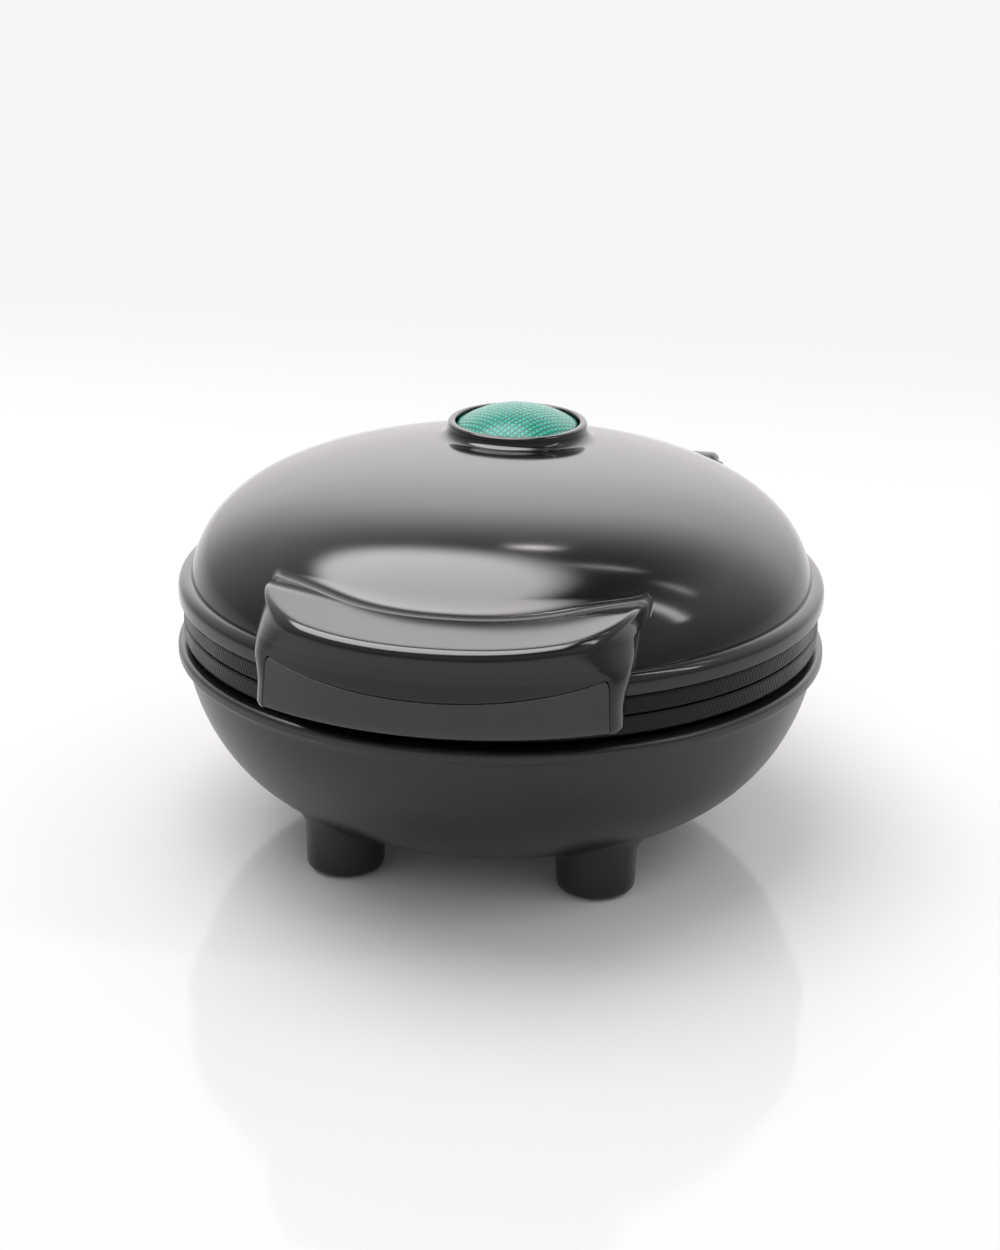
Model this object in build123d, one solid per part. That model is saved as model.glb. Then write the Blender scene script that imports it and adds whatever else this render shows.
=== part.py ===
from build123d import *
import math
import os

# Mini waffle maker, closed. Millimetres, +Z up, the rest surface at Z = 0.
# The handle points to -Y and the hinge is at +Y. Lid and base share the Z axis.

# Body and rims
RIM_R = 63.5
RIM_TOP_Z = 39.4
RIM_H = 2.5
SHELL_WALL = 2.2
RIM_PROUD = 1.2
BOWL_SHOULDER_IN = 1.5
BOWL_SHOULDER_DROP = 17.7
BOWL_TURN_IN = 13.5
BOWL_FLAT_IN = 31.3
BOWL_BOTTOM_Z = 7.0

# Cooking plates
PARTING_RISE = 5.1
PLATE_GAP = 0.3
PLATE_INSET = 1.2
PLATE_RIM_T = 3.9
PLATE_FLOOR_T = 3.0
PLATE_WALL = 3.5
CAVITY_MARGIN = 10.8
CAVITY_DEPTH = 7.2
CAVITY_TAPER = 12
BLOCK_PITCH = 13.0
BLOCK_BASE = 9.4
BLOCK_TAPER = 14
RIB_TIP_GAP = 5.6
OVERFLOW_OFFSET = 5.0
OVERFLOW_W = 2.0
OVERFLOW_DEPTH = 1.0

# Lid
LIP_INSET = 0.3
LIP_H = 4.2
LIP_ROUND = 2.3
LIP_PROUD = 2.0
DOME_BASE_RISE = 2.6
DOME_H = 28.5
DOME_SIDE = 20.3
DOME_CROWN_IN = 17.9
LID_WALL = 2.2

# Handle
HANDLE_PROUD = 11.2
HANDLE_HALF_W = 32.3
HANDLE_ARC_R = 60.0
HANDLE_BOTTOM_RISE = 1.5
HANDLE_H = 15.5
HANDLE_TIP_RISE = 1.2
HANDLE_CORNER_R = 3.0
HANDLE_EDGE_R = 1.4
HANDLE_WALL = 2.4
GRIP_H = 6.6
GRIP_SEAM_RISE = 3.6
GRIP_FLOOR_T = 2.4
GRIP_GAP = 0.15
GRIP_SIDE_WALL = 1.4

# Tab, screws and hooks that hold the upper plate in the lid
TAB_HALF_W = 9.0
TAB_T = 2.0
TAB_SETBACK = 4.4
TAB_PLAY = 0.3
HANDLE_SCREW_X = 5.2
HANDLE_SCREW_SETBACK = 8.0
HANDLE_SCREW_R = 1.5
HANDLE_SCREW_HEAD_R = 2.8
HANDLE_SCREW_HEAD_T = 1.6
HANDLE_SCREW_L = 10.0
HANDLE_BOSS_R = 3.4
HOOK_X0 = 20.0
HOOK_X1 = 24.0
HOOK_RISE = 2.0
HOOK_T = 1.6
HOOK_GAP = 0.2

# Indicator lens
LENS_Y = 16.5
LENS_R = 12.05
LENS_RIM_RISE = 1.6
LENS_CROWN = 3.7
LENS_WALL = 1.6
LENS_FLANGE_R = 14.0
LENS_FLANGE_T = 1.2
LENS_GAP = 0.35
LENS_RING_W = 1.5
LENS_RING_FLARE = 1.8
LENS_RING_RISE = 0.7
LENS_SEAT_DROP = 4.7

# Hinge
HINGE_BEHIND_RIM = 3.0
HINGE_RISE = 8.0
BARREL_R = 6.5
EAR_IN = 24.0
EAR_OUT = 36.0
KNUCKLE_IN = 9.2
SIDE_PLAY = 0.4
PIN_R = 2.5
PIN_PLAY = 0.05
PIN_END_MARGIN = 2.5
STOP_IN = 11.6
STOP_OUT = 20.4
BRIDGE_RISE = 2.1
STOP_GAP = 0.4
OPEN_ANGLE = 100.0
STOP_MARGIN = 1.0
HEEL_LOW_ANGLE = 2.0
HEEL_HIGH_ANGLE = 32.0
GUARD_W = 8.6
GUARD_WALL = 1.6
GUARD_END_ANGLE = 30.0
CAP_R = 4.6
CAP_T = 1.0
CAP_STEM_L = 2.0

# Legs, pads and towers
LEG_X = 24.4
LEG_FRONT_Y = -31.3
LEG_BACK_Y = 36.0
LEG_R = 7.45
LEG_TOP_R = 8.3
LEG_ROUND = 1.3
PAD_R = 5.2
PAD_T = 1.5
PAD_PROUD = 0.5
TOWER_R = 4.9
TOWER_BOSS_L = 5.0
PLATE_SCREW_R = 1.5
PLATE_SCREW_HEAD_R = 3.0
PLATE_SCREW_HEAD_T = 2.0
PLATE_SCREW_SEAT_T = 7.5
PLATE_SCREW_L = 12.5
SCREW_PLAY = 0.2
THREAD_PLAY = 0.03
HEAD_PLAY = 0.8

# Heating elements and what clamps them
ELEMENT_R = 30.0
ELEMENT_TUBE_R = 3.0
ELEMENT_OPEN_ANGLE = 24.0
ELEMENT_BEND_R = 4.8
ELEMENT_TAIL_END_Y = 14.0
PIN_TERMINAL_R = 1.4
PIN_TERMINAL_L = 5.0
TRACK_W = 5.0
TRACK_H = 2.4
TRACK_PLAY = 0.1
CLAMP_W = 9.0
CLAMP_T = 1.5
CLAMP_OVERHANG = 5.0
CLAMP_BOSS_R = 4.5
CLAMP_SCREW_R = 2.0
CLAMP_SCREW_HEAD_R = 3.6
CLAMP_SCREW_HEAD_T = 2.2
SHIELD_R = 34.0
SHIELD_T = 0.5
SHIELD_SKIRT = 3.0
SHIELD_WINDOW = 10.0

# Controls on the upper plate
THERMOSTAT_Y = -16.0
THERMOSTAT_R = 7.9
THERMOSTAT_H = 4.6
THERMOSTAT_FLANGE_X = 11.5
THERMOSTAT_FLANGE_R = 3.4
THERMOSTAT_FLANGE_T = 0.8
THERMOSTAT_SCREW_R = 1.4
THERMOSTAT_TAB_X = 3.2
THERMOSTAT_TAB_W = 3.2
FUSE_X = -13.5
FUSE_Y = 11.0
FUSE_R = 1.9
FUSE_L = 9.0
FUSE_LEAD_R = 0.5
FUSE_LEAD_L = 2.0
FUSE_CLIP_T = 0.6
FUSE_CLIP_W = 5.0

# Lamp under the lens
LAMP_R = 1.9
LAMP_L = 12.0
LAMP_LEAD_R = 0.4
HOLDER_H = 5.4
HOLDER_T = 1.0
HOLDER_EAR_X = 18.0
HOLDER_EAR_R = 3.2
HOLDER_SCREW_R = 1.2

# Cord entry and wiring
CORD_RISE = 15.0
CORD_BORE_R = 3.3
GLAND_R = 4.5
GLAND_FLANGE_R = 6.6
GLAND_FLANGE_T = 1.5
GLAND_PLAY = 0.1
CORD_BOSS_R = 7.6
CORD_BOSS_SETBACK = 2.5
SLEEVE_R = 1.6
WIRE_R = 0.9
BLOCK_L = 20.0
BLOCK_D = 12.0
BLOCK_H = 9.0
BLOCK_Y = 22.0
BLOCK_PORT_R = 1.7
BLOCK_SCREW_R = 1.4

# Radii and reaches that follow from the rim
BOWL_R = RIM_R - RIM_PROUD
BOWL_SHOULDER_R = BOWL_R - BOWL_SHOULDER_IN
BOWL_TURN_R = BOWL_R - BOWL_TURN_IN
BOWL_FLAT_R = BOWL_R - BOWL_FLAT_IN
PLATE_R = RIM_R - PLATE_INSET
CAVITY_R = PLATE_R - CAVITY_MARGIN
OVERFLOW_R = CAVITY_R + OVERFLOW_OFFSET
LIP_R = RIM_R - LIP_INSET
DOME_R = LIP_R - LIP_PROUD
DOME_CROWN = DOME_R - DOME_CROWN_IN
HANDLE_REACH = LIP_R + HANDLE_PROUD
TAB_REACH = HANDLE_REACH - TAB_SETBACK
HANDLE_SCREW_Y = HANDLE_SCREW_SETBACK - HANDLE_REACH
HINGE_Y = RIM_R + HINGE_BEHIND_RIM
CORD_BOSS_Y = RIM_R - CORD_BOSS_SETBACK

# Heights that follow from the rim and the bowl
PARTING_Z = RIM_TOP_Z + PARTING_RISE
BOWL_SHOULDER_Z = RIM_TOP_Z - BOWL_SHOULDER_DROP
BRIDGE_TOP_Z = RIM_TOP_Z + BRIDGE_RISE
CORD_Z = BOWL_BOTTOM_Z + CORD_RISE
DOME_BASE_Z = PARTING_Z + DOME_BASE_RISE
DOME_TOP_Z = DOME_BASE_Z + DOME_H
HANDLE_BOTTOM_Z = PARTING_Z + HANDLE_BOTTOM_RISE
HANDLE_TOP_Z = HANDLE_BOTTOM_Z + HANDLE_H
GRIP_SEAM_Z = HANDLE_BOTTOM_Z + GRIP_H
HINGE_Z = PARTING_Z + HINGE_RISE
LENS_SEAT_Z = DOME_TOP_Z - LENS_SEAT_DROP
LENS_RIM_Z = DOME_TOP_Z + LENS_RIM_RISE
LENS_TOP_Z = LENS_RIM_Z + LENS_CROWN
LENS_RING_Z = LENS_RIM_Z + LENS_RING_RISE

# Other sizes that follow from those above
LOWER_TOP_Z = PARTING_Z - PLATE_GAP / 2
UPPER_FACE_Z = PARTING_Z + PLATE_GAP / 2
PLATE_DEPTH = CAVITY_DEPTH + PLATE_FLOOR_T
PLATE_PAN_R = CAVITY_R + PLATE_WALL
LIP_Z = UPPER_FACE_Z + PLATE_RIM_T
RIM_BOTTOM_Z = RIM_TOP_Z - RIM_H
BLOCK_HEIGHT = CAVITY_DEPTH - (RIB_TIP_GAP - PLATE_GAP) / 2
LOWER_BACK_Z = LOWER_TOP_Z - PLATE_DEPTH
UPPER_BACK_Z = UPPER_FACE_Z + PLATE_DEPTH
CLAMP_SEAT = 2 * ELEMENT_TUBE_R
KNUCKLE_OUT = EAR_IN - SIDE_PLAY
FLOOR_Z = BOWL_BOTTOM_Z + SHELL_WALL
LENS_HOLE_R = LENS_R + LENS_GAP
HEEL_R = HANDLE_REACH - HINGE_Y
TOWER_TOP_Z = LOWER_BACK_Z - TOWER_BOSS_L
SCREW_SEAT_Z = TOWER_TOP_Z - PLATE_SCREW_SEAT_T
SHIELD_SEAT = CLAMP_SEAT + CLAMP_T
PIN_IN = KNUCKLE_IN + PIN_END_MARGIN
PIN_OUT = EAR_OUT - CAP_STEM_L
SLEEVE_SIDE_X = BLOCK_L / 4
PORT_Z = FLOOR_Z + BLOCK_H / 2
LEGS = [(x, y) for y in (LEG_FRONT_Y, LEG_BACK_Y) for x in (-LEG_X, LEG_X)]


def cylinder_up(radius, z0, z1, x=0.0, y=0.0):
    return Pos(x, y, (z0 + z1) / 2) * Cylinder(radius, z1 - z0)


def rod_x(radius, x0, x1, y=HINGE_Y, z=HINGE_Z):
    return Pos((x0 + x1) / 2, y, z) * Rot(0, 90, 0) * Cylinder(radius, x1 - x0)


def rod_y(radius, y0, y1, x, z):
    return Pos(x, (y0 + y1) / 2, z) * Rot(90, 0, 0) * Cylinder(radius, y1 - y0)


def block(x0, x1, y0, y1, z0, z1):
    return Pos((x0 + x1) / 2, (y0 + y1) / 2, (z0 + z1) / 2) * Box(x1 - x0, y1 - y0, z1 - z0)


def turned(*edges):
    """Solid of revolution about Z from the edges of an outline in the XZ plane."""
    return revolve(make_face(edges), Axis.Z)


def side_slab(points, x0, x1):
    """Slab between two X values from an outline of (y, z) points."""
    face = make_face(Polyline([(x0, y, z) for y, z in points], close=True).edges())
    return extrude(face, amount=x1 - x0, dir=(1, 0, 0))


def tube(points, radii, radius):
    """Round wire along straight runs joined by tangent arcs."""
    path = FilletPolyline(*points, radius=radii)
    start = Plane(origin=points[0], z_dir=Vector(*points[1]) - Vector(*points[0]))
    return sweep(start * Circle(radius), path=path)


def dome_curve(inset):
    return Bezier(
        (DOME_R - inset, 0, DOME_BASE_Z),
        (DOME_R - inset, 0, DOME_BASE_Z + DOME_SIDE - inset * 0.45),
        (DOME_CROWN - inset * 0.45, 0, DOME_TOP_Z - inset),
        (0, 0, DOME_TOP_Z - inset),
    )


def bowl_curve(inset):
    return Bezier(
        (BOWL_R - inset, 0, RIM_TOP_Z),
        (BOWL_SHOULDER_R - inset, 0, BOWL_SHOULDER_Z + inset * 0.45),
        (BOWL_TURN_R - inset * 0.45, 0, BOWL_BOTTOM_Z + inset),
        (BOWL_FLAT_R, 0, BOWL_BOTTOM_Z + inset),
    )


def dome_solid(inset):
    curve = dome_curve(inset)
    low, high = curve @ 0, curve @ 1
    foot = Vector(0, 0, low.Z)
    return turned(Line(foot, low), curve, Line(high, foot))


def bowl_solid(inset):
    curve = bowl_curve(inset)
    low, high = curve @ 1, curve @ 0
    return turned(
        Line((0, 0, high.Z), high), curve, Line(low, (0, 0, low.Z)), Line((0, 0, low.Z), (0, 0, high.Z))
    )


def rounded_ring(r_in, r_out, z0, z1, low_round, high_round):
    """Ring whose outer edges are rounded."""
    ring = cylinder_up(r_out, z0, z1)
    edges = ring.edges().filter_by(GeomType.CIRCLE).sort_by(Axis.Z)
    ring = fillet(edges[0], low_round)
    edges = ring.edges().filter_by(GeomType.CIRCLE).sort_by(Axis.Z)
    ring = fillet(edges[-1], high_round)
    return ring - cylinder_up(r_in, z0 - 1, z1 + 1)


def barrel_sector(r_in, r_out, low_angle, high_angle, x0, x1):
    """Sector of a tube round the hinge axis. Angles are from +Y towards +Z."""
    steps = [math.radians(low_angle), math.radians((low_angle + high_angle) / 2), math.radians(high_angle)]
    inner = [(x0, HINGE_Y + r_in * math.cos(a), HINGE_Z + r_in * math.sin(a)) for a in steps]
    outer = [(x0, HINGE_Y + r_out * math.cos(a), HINGE_Z + r_out * math.sin(a)) for a in steps]
    face = make_face([
        ThreePointArc(*inner), Line(inner[2], outer[2]), ThreePointArc(*outer), Line(outer[0], inner[0])
    ])
    return extrude(face, amount=x1 - x0, dir=(1, 0, 0))


# Base shell: one moulding with the bowl, rim bead, four legs, screw towers,
# hinge ears, the bridge that joins the ears, the lid stop and the wire guard.
def hinge_bracket():
    ear_outline = [
        (HINGE_Y - BARREL_R, HINGE_Z), (HINGE_Y - BARREL_R, RIM_TOP_Z), (BOWL_R - 12, RIM_TOP_Z - 2),
        (BOWL_R - 12, RIM_TOP_Z - 14), (BOWL_R - 1, RIM_TOP_Z - 8),
        (HINGE_Y + BARREL_R, RIM_TOP_Z + 4), (HINGE_Y + BARREL_R, HINGE_Z),
    ]
    bracket = None
    for side in (-1, 1):
        x0, x1 = sorted((side * EAR_IN, side * EAR_OUT))
        ear = side_slab(ear_outline, x0, x1) + rod_x(BARREL_R, x0, x1)
        bracket = ear if bracket is None else bracket + ear
    bridge_outline = [
        (RIM_R - 7, RIM_TOP_Z - 1), (RIM_R - 7, RIM_TOP_Z - 12), (RIM_R - 1, RIM_TOP_Z - 9),
        (HINGE_Y + BARREL_R, RIM_TOP_Z - 1), (HINGE_Y + BARREL_R, BRIDGE_TOP_Z),
        (PLATE_R + STOP_GAP, BRIDGE_TOP_Z), (PLATE_R + STOP_GAP, RIM_TOP_Z - 1),
    ]
    bracket += side_slab(bridge_outline, -EAR_IN, EAR_IN)
    stop_y = HINGE_Y + HEEL_R * math.cos(math.radians(HEEL_LOW_ANGLE - OPEN_ANGLE - STOP_MARGIN))
    stop_top = HINGE_Z - BARREL_R + STOP_GAP * 2
    for side in (-1, 1):
        x0, x1 = sorted((side * STOP_IN, side * STOP_OUT))
        bracket += block(x0, x1, PLATE_R + STOP_GAP, stop_y, BRIDGE_TOP_Z - 1, stop_top)
    bracket += barrel_sector(BARREL_R - GUARD_WALL, BARREL_R, -40, GUARD_END_ANGLE, -GUARD_W, GUARD_W)
    guard_front = HINGE_Y + (BARREL_R - GUARD_WALL) * math.cos(math.radians(40)) + 0.1
    bracket += block(
        -GUARD_W, GUARD_W, guard_front, HINGE_Y + BARREL_R, BRIDGE_TOP_Z - 1, HINGE_Z - BARREL_R * 0.5
    )
    bracket -= rod_x(BARREL_R + STOP_GAP, -KNUCKLE_OUT - SIDE_PLAY, -GUARD_W - SIDE_PLAY / 2)
    bracket -= rod_x(BARREL_R + STOP_GAP, GUARD_W + SIDE_PLAY / 2, KNUCKLE_OUT + SIDE_PLAY)
    return bracket


def leg_solid(x, y):
    top_z = TOWER_TOP_Z - 1
    leg = Pos(x, y, PAD_PROUD) * Solid.make_cone(LEG_R, LEG_TOP_R, top_z - PAD_PROUD)
    rim = leg.edges().filter_by(GeomType.CIRCLE).sort_by(Axis.Z)[0]
    return fillet(rim, LEG_ROUND)


def base_sleeve_points():
    return [
        (-SLEEVE_SIDE_X, BLOCK_Y + BLOCK_D / 2 - 2, PORT_Z),
        (-SLEEVE_SIDE_X, BLOCK_Y + BLOCK_D / 2 + 14, PORT_Z),
        (-SLEEVE_SIDE_X, RIM_R - 9, RIM_TOP_Z - 9),
        (-SLEEVE_SIDE_X, HINGE_Y, RIM_TOP_Z - 1),
        (-SLEEVE_SIDE_X, HINGE_Y, HINGE_Z),
        (0, HINGE_Y, HINGE_Z),
    ]


def base_shell():
    inner = bowl_solid(SHELL_WALL)
    shell = bowl_solid(0) + rounded_ring(BOWL_R - 4, RIM_R, RIM_BOTTOM_Z, RIM_TOP_Z, 0.7, 1.1)
    bracket = hinge_bracket()
    shell += bracket
    shell += rod_y(CORD_BOSS_R, RIM_R - 20, CORD_BOSS_Y, 0, CORD_Z)
    for x, y in LEGS:
        shell += leg_solid(x, y)
    shell -= inner
    shell -= cylinder_up(BLOCK_SCREW_R + THREAD_PLAY, FLOOR_Z - 1.5, FLOOR_Z + 1, 0, BLOCK_Y)
    for x, y in LEGS:
        shell += cylinder_up(TOWER_R, FLOOR_Z - 1, TOWER_TOP_Z, x, y)
        shell -= cylinder_up(PLATE_SCREW_HEAD_R + HEAD_PLAY, 0, SCREW_SEAT_Z, x, y)
        shell -= cylinder_up(PLATE_SCREW_R + SCREW_PLAY, 0, TOWER_TOP_Z + 1, x, y)
        shell -= cylinder_up(PAD_R + 0.1, 0, PAD_T, x, y)
    shell -= rod_y(GLAND_R, RIM_R - 20, CORD_BOSS_Y + 1, 0, CORD_Z)
    for side in (-1, 1):
        x0, x1 = sorted((side * (EAR_IN - 1), side * (EAR_OUT + 1)))
        shell -= rod_x(PIN_R + PIN_PLAY / 2, x0, x1)
    shell -= tube(base_sleeve_points(), sleeve_radii(), SLEEVE_R + 0.3)
    return shell


def sleeve_radii():
    return [7.0, 9.0, 5.0, SLEEVE_SIDE_X - 0.6]


# Rubber pads, one stuck in the end of each leg.
def foot_pads():
    return group([cylinder_up(PAD_R, 0, PAD_T, x, y) for x, y in LEGS])


# Cooking plates: cast discs with a rim, a pocketed waffle face, a track for the
# heating element and bosses on the back. Both are drawn face up, back down.
def block_centres():
    reach = int(CAVITY_R / BLOCK_PITCH)
    limit = CAVITY_R - BLOCK_BASE * 0.5
    steps = range(-reach, reach + 1)
    spots = [(i * BLOCK_PITCH, j * BLOCK_PITCH) for i in steps for j in steps]
    return [(x, y) for x, y in spots if math.hypot(x, y) + BLOCK_BASE * 0.35 < limit]


def cooking_plate():
    """Plate with its rim face at Z = 0 and its back at Z = -PLATE_DEPTH."""
    plate = rounded_ring(PLATE_PAN_R - 1, PLATE_R, -PLATE_RIM_T, 0, 1.1, 0.4)
    plate += cylinder_up(PLATE_PAN_R, -PLATE_DEPTH, 0)
    cavity = extrude(Circle(CAVITY_R), amount=-CAVITY_DEPTH, taper=CAVITY_TAPER)
    plate -= cavity
    floor = Plane.XY.offset(-CAVITY_DEPTH)
    for x, y in block_centres():
        plate += extrude(floor * Pos(x, y) * RectangleRounded(BLOCK_BASE, BLOCK_BASE, 1.2),
                         amount=BLOCK_HEIGHT, taper=BLOCK_TAPER)
    plate -= cylinder_up(OVERFLOW_R + OVERFLOW_W, -OVERFLOW_DEPTH, 1) - cylinder_up(OVERFLOW_R, -2, 2)
    outer = ELEMENT_R + TRACK_W
    inner = ELEMENT_R - TRACK_W
    track = cylinder_up(outer, -PLATE_DEPTH - TRACK_H, -PLATE_DEPTH) - cylinder_up(inner, -99, 99)
    gap_half = ELEMENT_R * math.sin(math.radians(ELEMENT_OPEN_ANGLE)) + 1.5
    track -= block(-gap_half, gap_half, 0, outer + 1, -99, 99)
    track -= Pos(0, 0, -PLATE_DEPTH - ELEMENT_TUBE_R) * Torus(ELEMENT_R, ELEMENT_TUBE_R + TRACK_PLAY)
    plate += track
    boss = cylinder_up(CLAMP_BOSS_R, -PLATE_DEPTH - CLAMP_SEAT, -PLATE_DEPTH)
    plate += boss
    plate -= cylinder_up(CLAMP_SCREW_R + THREAD_PLAY, -PLATE_DEPTH - CLAMP_SEAT - 1, -CAVITY_DEPTH - 1)
    return plate


def lower_plate():
    plate = Pos(0, 0, LOWER_TOP_Z) * cooking_plate()
    for x, y in LEGS:
        plate += cylinder_up(TOWER_R, TOWER_TOP_Z, LOWER_BACK_Z, x, y)
        plate -= cylinder_up(PLATE_SCREW_R + THREAD_PLAY, TOWER_TOP_Z - 1, LOWER_BACK_Z + 1.2, x, y)
    return plate


def hook_spots():
    """Left and right X spans of the two hooks at the back of the upper plate."""
    return [(-HOOK_X1, -HOOK_X0), (HOOK_X0, HOOK_X1)]


def upper_plate():
    plate = Pos(0, 0, UPPER_FACE_Z) * Rot(0, 180, 0) * cooking_plate()
    plate += block(-TAB_HALF_W, TAB_HALF_W, -TAB_REACH, -PLATE_PAN_R, LIP_Z, LIP_Z + TAB_T)
    for side in (-1, 1):
        hole = cylinder_up(HANDLE_SCREW_R + SCREW_PLAY, LIP_Z - 1, LIP_Z + TAB_T + 1)
        plate -= Pos(side * HANDLE_SCREW_X, HANDLE_SCREW_Y) * hole
        pilot = cylinder_up(THERMOSTAT_SCREW_R + THREAD_PLAY, UPPER_BACK_Z - 2, UPPER_BACK_Z + 1)
        plate -= Pos(side * THERMOSTAT_FLANGE_X, THERMOSTAT_Y) * pilot
    pilot = cylinder_up(THERMOSTAT_SCREW_R + THREAD_PLAY, UPPER_BACK_Z - 2, UPPER_BACK_Z + 1)
    plate -= Pos(FUSE_X, clip_screw_y()) * pilot
    hook_end = math.sqrt((DOME_R - LID_WALL) ** 2 - HOOK_X1 ** 2) - 4 * HOOK_GAP
    for x0, x1 in hook_spots():
        plate += block(x0, x1, ledge_y() - 4, hook_end, LIP_Z + HOOK_RISE, LIP_Z + HOOK_RISE + HOOK_T)
    return plate


def ledge_y():
    """Front of the ledges, just behind the plate's pan."""
    return math.sqrt(PLATE_PAN_R ** 2 - HOOK_X0 ** 2) + 2 * HOOK_GAP


def plate_screw(radius, head_r, head_t, length):
    """Screw pointing up from a pan head whose seat is at Z = 0."""
    head = cylinder_up(head_r, -head_t, 0)
    top = head.edges().filter_by(GeomType.CIRCLE).sort_by(Axis.Z)[0]
    head = fillet(top, head_t * 0.4)
    slot = block(-head_r, head_r, -0.4, 0.4, -head_t - 1, -head_t * 0.55)
    cross = Rot(0, 0, 90) * slot
    bound = cylinder_up(head_r * 0.62, -head_t - 2, 0)
    return head + cylinder_up(radius, 0, length) - (slot & bound) - (cross & bound)


def group(solids):
    return Compound([item.solid() for item in solids])


def lower_plate_screws():
    screw = plate_screw(PLATE_SCREW_R, PLATE_SCREW_HEAD_R, PLATE_SCREW_HEAD_T, PLATE_SCREW_L)
    return group([Pos(x, y, SCREW_SEAT_Z) * screw for x, y in LEGS])


# Heating element: one sheathed tube bent round the plate, with two cold pins.
def element(below):
    """Element lying on a plate back at Z = 0; below is -1 for the lower plate."""
    z = below * ELEMENT_TUBE_R
    turn = 90 - ELEMENT_OPEN_ANGLE
    a = math.radians(turn)
    end = Vector(ELEMENT_R * math.cos(a), ELEMENT_R * math.sin(a), z)
    centre = Vector(end.X - ELEMENT_BEND_R * math.cos(a), end.Y - ELEMENT_BEND_R * math.sin(a), z)
    tail = Vector(centre.X - ELEMENT_BEND_R, centre.Y, z)
    last = Vector(tail.X, ELEMENT_TAIL_END_Y, z)
    middle = math.radians((turn + 180) / 2)
    bend_mid = centre + Vector(ELEMENT_BEND_R * math.cos(middle), ELEMENT_BEND_R * math.sin(middle), 0)

    def flip(v):
        return Vector(-v.X, v.Y, v.Z)

    path = Wire([
        Line(last, tail).edge(),
        ThreePointArc(tail, bend_mid, end).edge(),
        ThreePointArc(end, Vector(0, -ELEMENT_R, z), flip(end)).edge(),
        ThreePointArc(flip(end), flip(bend_mid), flip(tail)).edge(),
        Line(flip(tail), flip(last)).edge(),
    ])
    body = sweep(Plane(origin=last, z_dir=(0, 1, 0)) * Circle(ELEMENT_TUBE_R), path=path)
    for x in (last.X, -last.X):
        body += rod_y(PIN_TERMINAL_R, last.Y - PIN_TERMINAL_L, last.Y + 1, x, z)
        body += rod_y(PIN_TERMINAL_R * 1.5, last.Y - 1.2, last.Y + 0.5, x, z)
    return body


def element_clamp():
    """Flat bar across the element, hole in the middle, underside at Z = 0."""
    half = ELEMENT_R + CLAMP_OVERHANG
    bar = extrude(SlotOverall(2 * half, CLAMP_W), amount=CLAMP_T)
    return bar - cylinder_up(CLAMP_SCREW_R + SCREW_PLAY, -1, CLAMP_T + 1)


def heat_shield():
    """Pressed pan that lies on the clamp, with its skirt turned to the plate."""
    pan = cylinder_up(SHIELD_R, -SHIELD_SKIRT, SHIELD_T)
    pan -= cylinder_up(SHIELD_R - SHIELD_T, -SHIELD_SKIRT - 1, 0)
    reach = ELEMENT_R + CLAMP_OVERHANG + 1
    pan -= block(-reach, reach, -CLAMP_W / 2 - 0.5, CLAMP_W / 2 + 0.5, -SHIELD_SKIRT - 1, 0)
    pan -= block(
        -SHIELD_WINDOW, SHIELD_WINDOW, CLAMP_W / 2 + 1.5, SHIELD_R + 1, -SHIELD_SKIRT - 1, SHIELD_T + 1
    )
    return pan - cylinder_up(CLAMP_SCREW_R + SCREW_PLAY, -1, SHIELD_T + 1)


def clamp_screw():
    length = SHIELD_T + CLAMP_T + CLAMP_SEAT + 1.2
    return plate_screw(CLAMP_SCREW_R, CLAMP_SCREW_HEAD_R, CLAMP_SCREW_HEAD_T, length)


# Lid cover: one glossy moulding with the dome, rim lip, lens ring, handle hood,
# screw bosses and the two hinge knuckles.
def handle_plan(inset):
    """Outline of the handle from above, drawn at Z = 0."""
    radius = HANDLE_ARC_R - inset
    centre_y = -(HANDLE_REACH - HANDLE_ARC_R)
    half = HANDLE_HALF_W - inset
    front = Pos(0, centre_y) * Circle(radius)
    window = Pos(0, -40 - HANDLE_REACH / 2) * Rectangle(2 * half, HANDLE_REACH)
    return front & window


def handle_block():
    bar = extrude(handle_plan(0), amount=HANDLE_TOP_Z + HANDLE_TIP_RISE + 4 - HANDLE_BOTTOM_Z)
    bar = Pos(0, 0, HANDLE_BOTTOM_Z) * bar
    corners = bar.edges().filter_by(Axis.Z).sort_by(Axis.Y)[0:2]
    bar = fillet(corners, HANDLE_CORNER_R)
    half = HANDLE_HALF_W
    saddle_r = (half ** 2 + HANDLE_TIP_RISE ** 2) / (2 * HANDLE_TIP_RISE)
    bar -= rod_y(saddle_r, -HANDLE_REACH - 5, 0, 0, HANDLE_TOP_Z + saddle_r)
    top = bar.faces().filter_by(GeomType.CYLINDER).sort_by(Axis.Z)[-1]
    front_edges = [e for e in top.edges() if e.center().Y < -(HANDLE_REACH - HANDLE_ARC_R) - 25]
    return fillet(front_edges, HANDLE_EDGE_R)


def handle_cavity():
    inner = extrude(handle_plan(HANDLE_WALL), amount=HANDLE_TOP_Z - HANDLE_WALL - HANDLE_BOTTOM_Z + 1)
    return Pos(0, 0, HANDLE_BOTTOM_Z - 1) * inner - cylinder_up(LIP_R, HANDLE_BOTTOM_Z - 2, HANDLE_TOP_Z)


def seam_solid(z_shift):
    """What lies below the curved seam between hood and grip."""
    half = HANDLE_HALF_W
    radius = (half ** 2 + GRIP_SEAM_RISE ** 2) / (2 * GRIP_SEAM_RISE)
    below = block(-half, half, -HANDLE_REACH - 1, 0, HANDLE_BOTTOM_Z - 2, GRIP_SEAM_Z + GRIP_SEAM_RISE + 2)
    return below - rod_y(radius, -HANDLE_REACH - 5, 5, 0, GRIP_SEAM_Z + radius + z_shift)


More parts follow.
